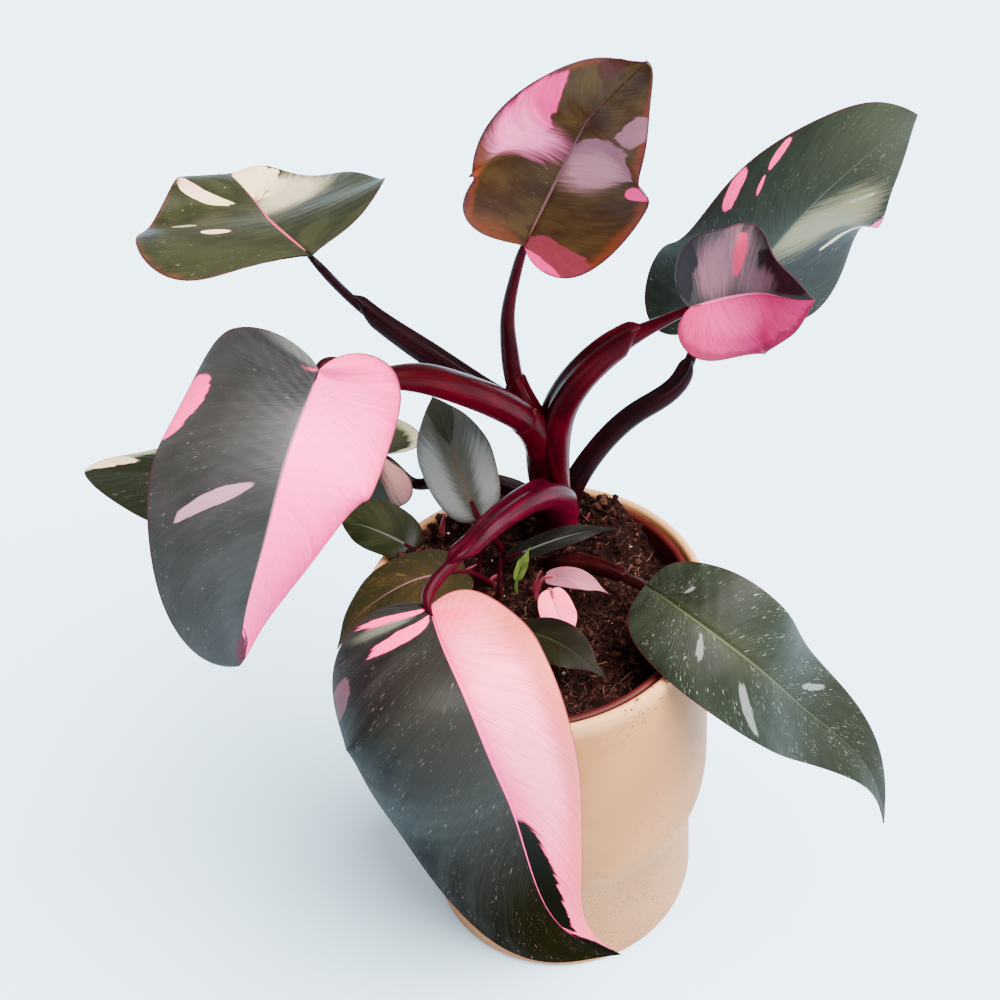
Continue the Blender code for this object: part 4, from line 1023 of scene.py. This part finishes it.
def turned_mesh(name, profile, mat):
    """Smooth solid of revolution from a profile in millimetres."""
    points, faces, rings = [], [], []
    for r, z in profile:
        sides = POT_SIDES if r else 1
        rings.append([len(points) + k % sides for k in range(POT_SIDES)])
        turns = [2 * math.pi * k / POT_SIDES for k in range(sides)]
        points += [(r * math.cos(a), r * math.sin(a), z) for a in turns]
    for a, b in zip(rings, rings[1:]):
        for k in range(POT_SIDES):
            n = (k + 1) % POT_SIDES
            faces.append(list(dict.fromkeys((a[k], b[k], b[n], a[n]))))
    return solid(name, points, faces, [mat], POT_CREASE)


def pot_material():
    """Matte beige with clustered fine dark speckles and faint mottling, a painted highlight round the lip
    and a line of painted shade along the crease.
    """
    g = Graph("pot_beige", rough=0.55, specular=0.15)
    place = g.place()
    x, _, z = g.split(place)
    cloud = g.noise(place, 30.0, 3.0)
    colour = g.mix(g.steps(cloud, 0.3, 0.7), (0.3, 0.115, 0.031), (0.35, 0.14, 0.042))
    # painted highlight: a lighter band round the top of the lip
    lip = g.steps(z, (POT_HEIGHT - 9) * MM, (POT_HEIGHT - 2) * MM)
    colour = g.mix(lip, colour, (0.52, 0.24, 0.1))
    # painted shade: a thin darker line along the crease
    groove = g.steps(abs(z - (CREASE_HEIGHT + 0.2) * MM), 1.1 * MM, 0.2 * MM)
    colour = g.mix(groove * 0.5, colour, (0.14, 0.045, 0.012))
    lower_right = g.steps(x, -20 * MM, 50 * MM) * g.steps(z, 150 * MM, 30 * MM)
    cluster = g.noise(place, 28.0, 2.0) + lower_right * 0.16
    for scale, size, start in ((420.0, 0.3, 0.53), (800.0, 0.42, 0.49), (230.0, 0.19, 0.56)):
        distance, pick = g.cells(place, scale)
        big = g.steps(pick, 0.35, 1.0) * size
        spot = g.steps(distance, big, big * 0.6) * g.steps(cluster, start, start + 0.1)
        colour = g.mix(spot * 0.85, colour, (0.02, 0.006, 0.002))
    g.bump(g.noise(place, 900.0, 2.0) * 0.3 + cloud, 0.0004, 0.25)
    return g.finish(colour)


# How far the nursery pot's rolled rim stands above the part's, and its radius
ROLL_LIFT = 2.6
ROLL_RADIUS = 1.7


def rolled_rim():
    """The nursery pot's profile with a broader, rounded rim."""
    profile = nursery_profile()
    middle = (NURSERY_RADIUS - ROLL_RADIUS, NURSERY_TOP + ROLL_LIFT - ROLL_RADIUS)
    rim = round_corner(middle, ROLL_RADIUS, 180, 0, 8)
    return profile[:3] + [(NURSERY_RADIUS - 2 * ROLL_RADIUS, NURSERY_TOP - 8.0)] + rim + profile[6:]


def build_pots():
    fit(turned_mesh("beige_pot", pot_profile(), pot_material()), "cover_pot")
    red = mottled("pot_red", (0.05, 0.0035, 0.0025), (0.03, 0.002, 0.0015), 60.0, 0.3, 0.7)
    fit(turned_mesh("red_pot", rolled_rim(), red), "nursery_pot")


def soil_material(name, light, dark):
    return mottled(name, dark, light, 420.0, 0.35, 0.68, 0.95, 0.05, 4.0, 0.0012)


def soil_top(x, y):
    """Height of the visible soil: the part's lumpy top, banked up at the back and level at the wall."""
    angle = math.degrees(math.atan2(y, x))
    reach = math.hypot(x, y)
    window = max(0.0, min(1.0, (angle - 38.0) / 14.0, (168.0 - angle) / 18.0))
    bank = 15.0 * math.exp(-((reach - 61.0) / 10.0)**2) * window * window * (3 - 2 * window)
    lift = max(soil_lift(x, y), bank + 2.0 * math.sin(0.5 * x) * window)
    wall = NURSERY_RADIUS - NURSERY_WALL - 0.4
    return SOIL_HEIGHT + lift * min(1.0, max(0.0, (wall - reach) / 3.0))


def soil_place(rng):
    reach = (NURSERY_RADIUS - NURSERY_WALL - 2.5) * math.sqrt(rng.random())
    angle = rng.uniform(0, 2 * math.pi)
    x, y = reach * math.cos(angle), reach * math.sin(angle)
    return x, y, soil_top(x, y)


def soil_bed(edge, mat):
    """Crumbly top from rings of points, closed below by a smaller ring inside the soil."""
    rough = np.random.default_rng(ROUGH_SEED).normal(0, 1, (SOIL_RINGS, SOIL_AROUND))
    for _ in range(SMOOTHINGS):
        rough = (rough + np.roll(rough, 1, 0) + np.roll(rough, 1, 1) + np.roll(rough, -1, 1)) / 2.6
    turns = [2 * math.pi * k / SOIL_AROUND for k in range(SOIL_AROUND)]
    points = []
    for i in range(SOIL_RINGS):
        r = edge * (i + 0.3) / (SOIL_RINGS - 1 + 0.3)
        for k, a in enumerate(turns):
            x, y = r * math.cos(a), r * math.sin(a)
            points.append((x, y, soil_top(x, y) + 0.5 * rough[i, k] * min(1, r / 10)))
    inner, depth = INNER_RING
    points += [(inner * math.cos(a), inner * math.sin(a), depth) for a in turns]
    rings = [[i * SOIL_AROUND + k for k in range(SOIL_AROUND)] for i in range(SOIL_RINGS + 1)]
    faces = [[a[k], b[k], b[(k + 1) % SOIL_AROUND], a[(k + 1) % SOIL_AROUND]]
             for a, b in zip(rings, rings[1:]) for k in range(SOIL_AROUND)]
    faces += [rings[0][::-1], rings[-1]]
    flows = [[(0.0, 0.0)] * len(face) for face in faces]
    return join_parts("soil_top", [(points, faces, flows, 0)], [mat])


def fibre(rng):
    """Rows of one thin curved fibre that lies on the soil."""
    x, y, z = soil_place(rng)
    long = rng.uniform(2.0, 8.0)
    heading = rng.uniform(0, 2 * math.pi)
    tilt = rng.uniform(-0.3, 0.7)
    bend = rng.uniform(-0.9, 0.9)
    thin = rng.uniform(0.08, 0.24)
    line = []
    for s in (0.0, 0.33, 0.67, 1.0):
        h = heading + bend * s
        line.append((x + long * s * math.cos(h), y + long * s * math.sin(h),
                     z + 0.2 + long * tilt * s * (1 - 0.4 * s), thin * (1.1 - 0.8 * s)))
    return line


def clod(place, size, rng, slot):
    """Small lumpy grain: a jittered icosahedron."""
    bm = bmesh.new()
    bmesh.ops.create_icosphere(bm, subdivisions=1, radius=size)
    points = [(place[0] + v.co.x * rng.uniform(0.6, 1.25), place[1] + v.co.y * rng.uniform(0.6, 1.25),
               place[2] + v.co.z * rng.uniform(0.5, 1.1)) for v in bm.verts]
    faces = [[v.index for v in f.verts] for f in bm.faces]
    bm.free()
    return points, faces, [[(0.0, 0.0)] * 3 for _ in faces], slot


def soil_clods(rng):
    """Crumbs all over the soil, more of them on the bank at the back, and a few white grains."""
    clods = []
    for _ in range(CLOD_COUNT):
        x, y, z = soil_place(rng)
        size = rng.uniform(0.4, 2.1)
        if rng.random() < BANKED_SHARE:
            turn = math.radians(rng.uniform(42, 160))
            reach = NURSERY_RADIUS - rng.uniform(4.0, 14.0)
            x, y = reach * math.cos(turn), reach * math.sin(turn)
            z = soil_top(x, y) + rng.uniform(0.0, 2.5)
            size = rng.uniform(1.0, 2.6)
            if math.hypot(x, y) > NURSERY_RADIUS - 4.5:
                continue
        white = rng.random() < WHITE_SHARE
        tone = WHITE_TONE if white else rng.choice((0, 0, 1))
        clods.append(clod((x, y, z), size * (0.5 if white else 1.0), rng, tone))
    return clods


def build_soil():
    rng = random.Random(SOIL_SEED)
    edge = NURSERY_RADIUS - NURSERY_WALL - 0.1
    bed = soil_material("soil_bed", (0.014, 0.0042, 0.0032), (0.003, 0.001, 0.0008))
    fit(soil_bed(edge, bed), "soil")
    tones = [soil_material("fibre_dark", (0.015, 0.0045, 0.0034), (0.004, 0.0012, 0.001)),
             soil_material("fibre_brown", (0.06, 0.021, 0.014), (0.02, 0.006, 0.004)),
             soil_material("fibre_light", (0.16, 0.075, 0.045), (0.07, 0.028, 0.017)),
             soil_material("grain_white", (0.5, 0.42, 0.33), (0.3, 0.25, 0.2))]
    fibres = []
    for _ in range(FIBRE_COUNT):
        line = fibre(rng)
        if max(math.hypot(p[0], p[1]) for p in line) <= edge - 0.6:
            fibres.append(sweep(line, FIBRE_SIDES, rng.choices((0, 1, 2), (5, 5, 1))[0]))
    fit(join_parts("soil_fibres", fibres, tones))
    fit(join_parts("soil_clods", soil_clods(rng), tones))


# Stage
FLOOR_SIZE = 12.0
FLOOR_DROP = 0.0002
FLOOR_TONE = (0.6, 0.82, 0.98)
ROOM_TONE = (0.96, 0.975, 1.0, 1.0)
ROOM_LIGHT = 1.1
KEY_LIGHT = 21.0
KEY_SPREAD = 60.0
KEY_WAY = (-0.55, 0.22, -0.8)


def build_stage():
    """Pale floor, an even bright room, and one broad soft light from the right."""
    bpy.ops.mesh.primitive_plane_add(size=FLOOR_SIZE, location=(0, 0, -FLOOR_DROP))
    floor = bpy.context.object
    floor.name = "floor"
    floor.data.materials.append(Graph("floor_pale", rough=0.9, specular=0.1).finish(FLOOR_TONE))
    world = bpy.data.worlds.new("room")
    world.use_nodes = True
    light = world.node_tree.nodes["Background"]
    light.inputs["Color"].default_value = ROOM_TONE
    light.inputs["Strength"].default_value = ROOM_LIGHT
    bpy.context.scene.world = world
    sun = bpy.data.lights.new("key", "SUN")
    sun.energy = KEY_LIGHT
    sun.angle = math.radians(KEY_SPREAD)
    lamp = bpy.data.objects.new("key", sun)
    lamp.rotation_euler = Vector(KEY_WAY).to_track_quat("-Z", "Y").to_euler()
    bpy.context.scene.collection.objects.link(lamp)


def build_camera():
    yaw, pitch, roll = (math.radians(a) for a in (CAMERA_YAW, CAMERA_PITCH, CAMERA_ROLL))
    ahead = Vector((math.sin(yaw) * math.cos(pitch), math.cos(yaw) * math.cos(pitch), -math.sin(pitch)))
    level = ahead.cross(Vector((0, 0, 1))).normalized()
    above = level.cross(ahead)
    right = level * math.cos(roll) + above * math.sin(roll)
    up = above * math.cos(roll) - level * math.sin(roll)
    data = bpy.data.cameras.new("camera")
    data.lens = LENS
    data.sensor_width = 36.0
    data.clip_start = 0.01
    camera = bpy.data.objects.new("camera", data)
    matrix = Matrix((right, up, -ahead)).transposed().to_4x4()
    matrix.translation = Vector(CAMERA_PLACE) * MM
    camera.matrix_world = matrix
    bpy.context.scene.collection.objects.link(camera)
    bpy.context.scene.camera = camera


build_pots()
build_soil()
build_main_stem()
build_low_stem()
build_leaves()
build_shoots()
build_stage()
build_camera()
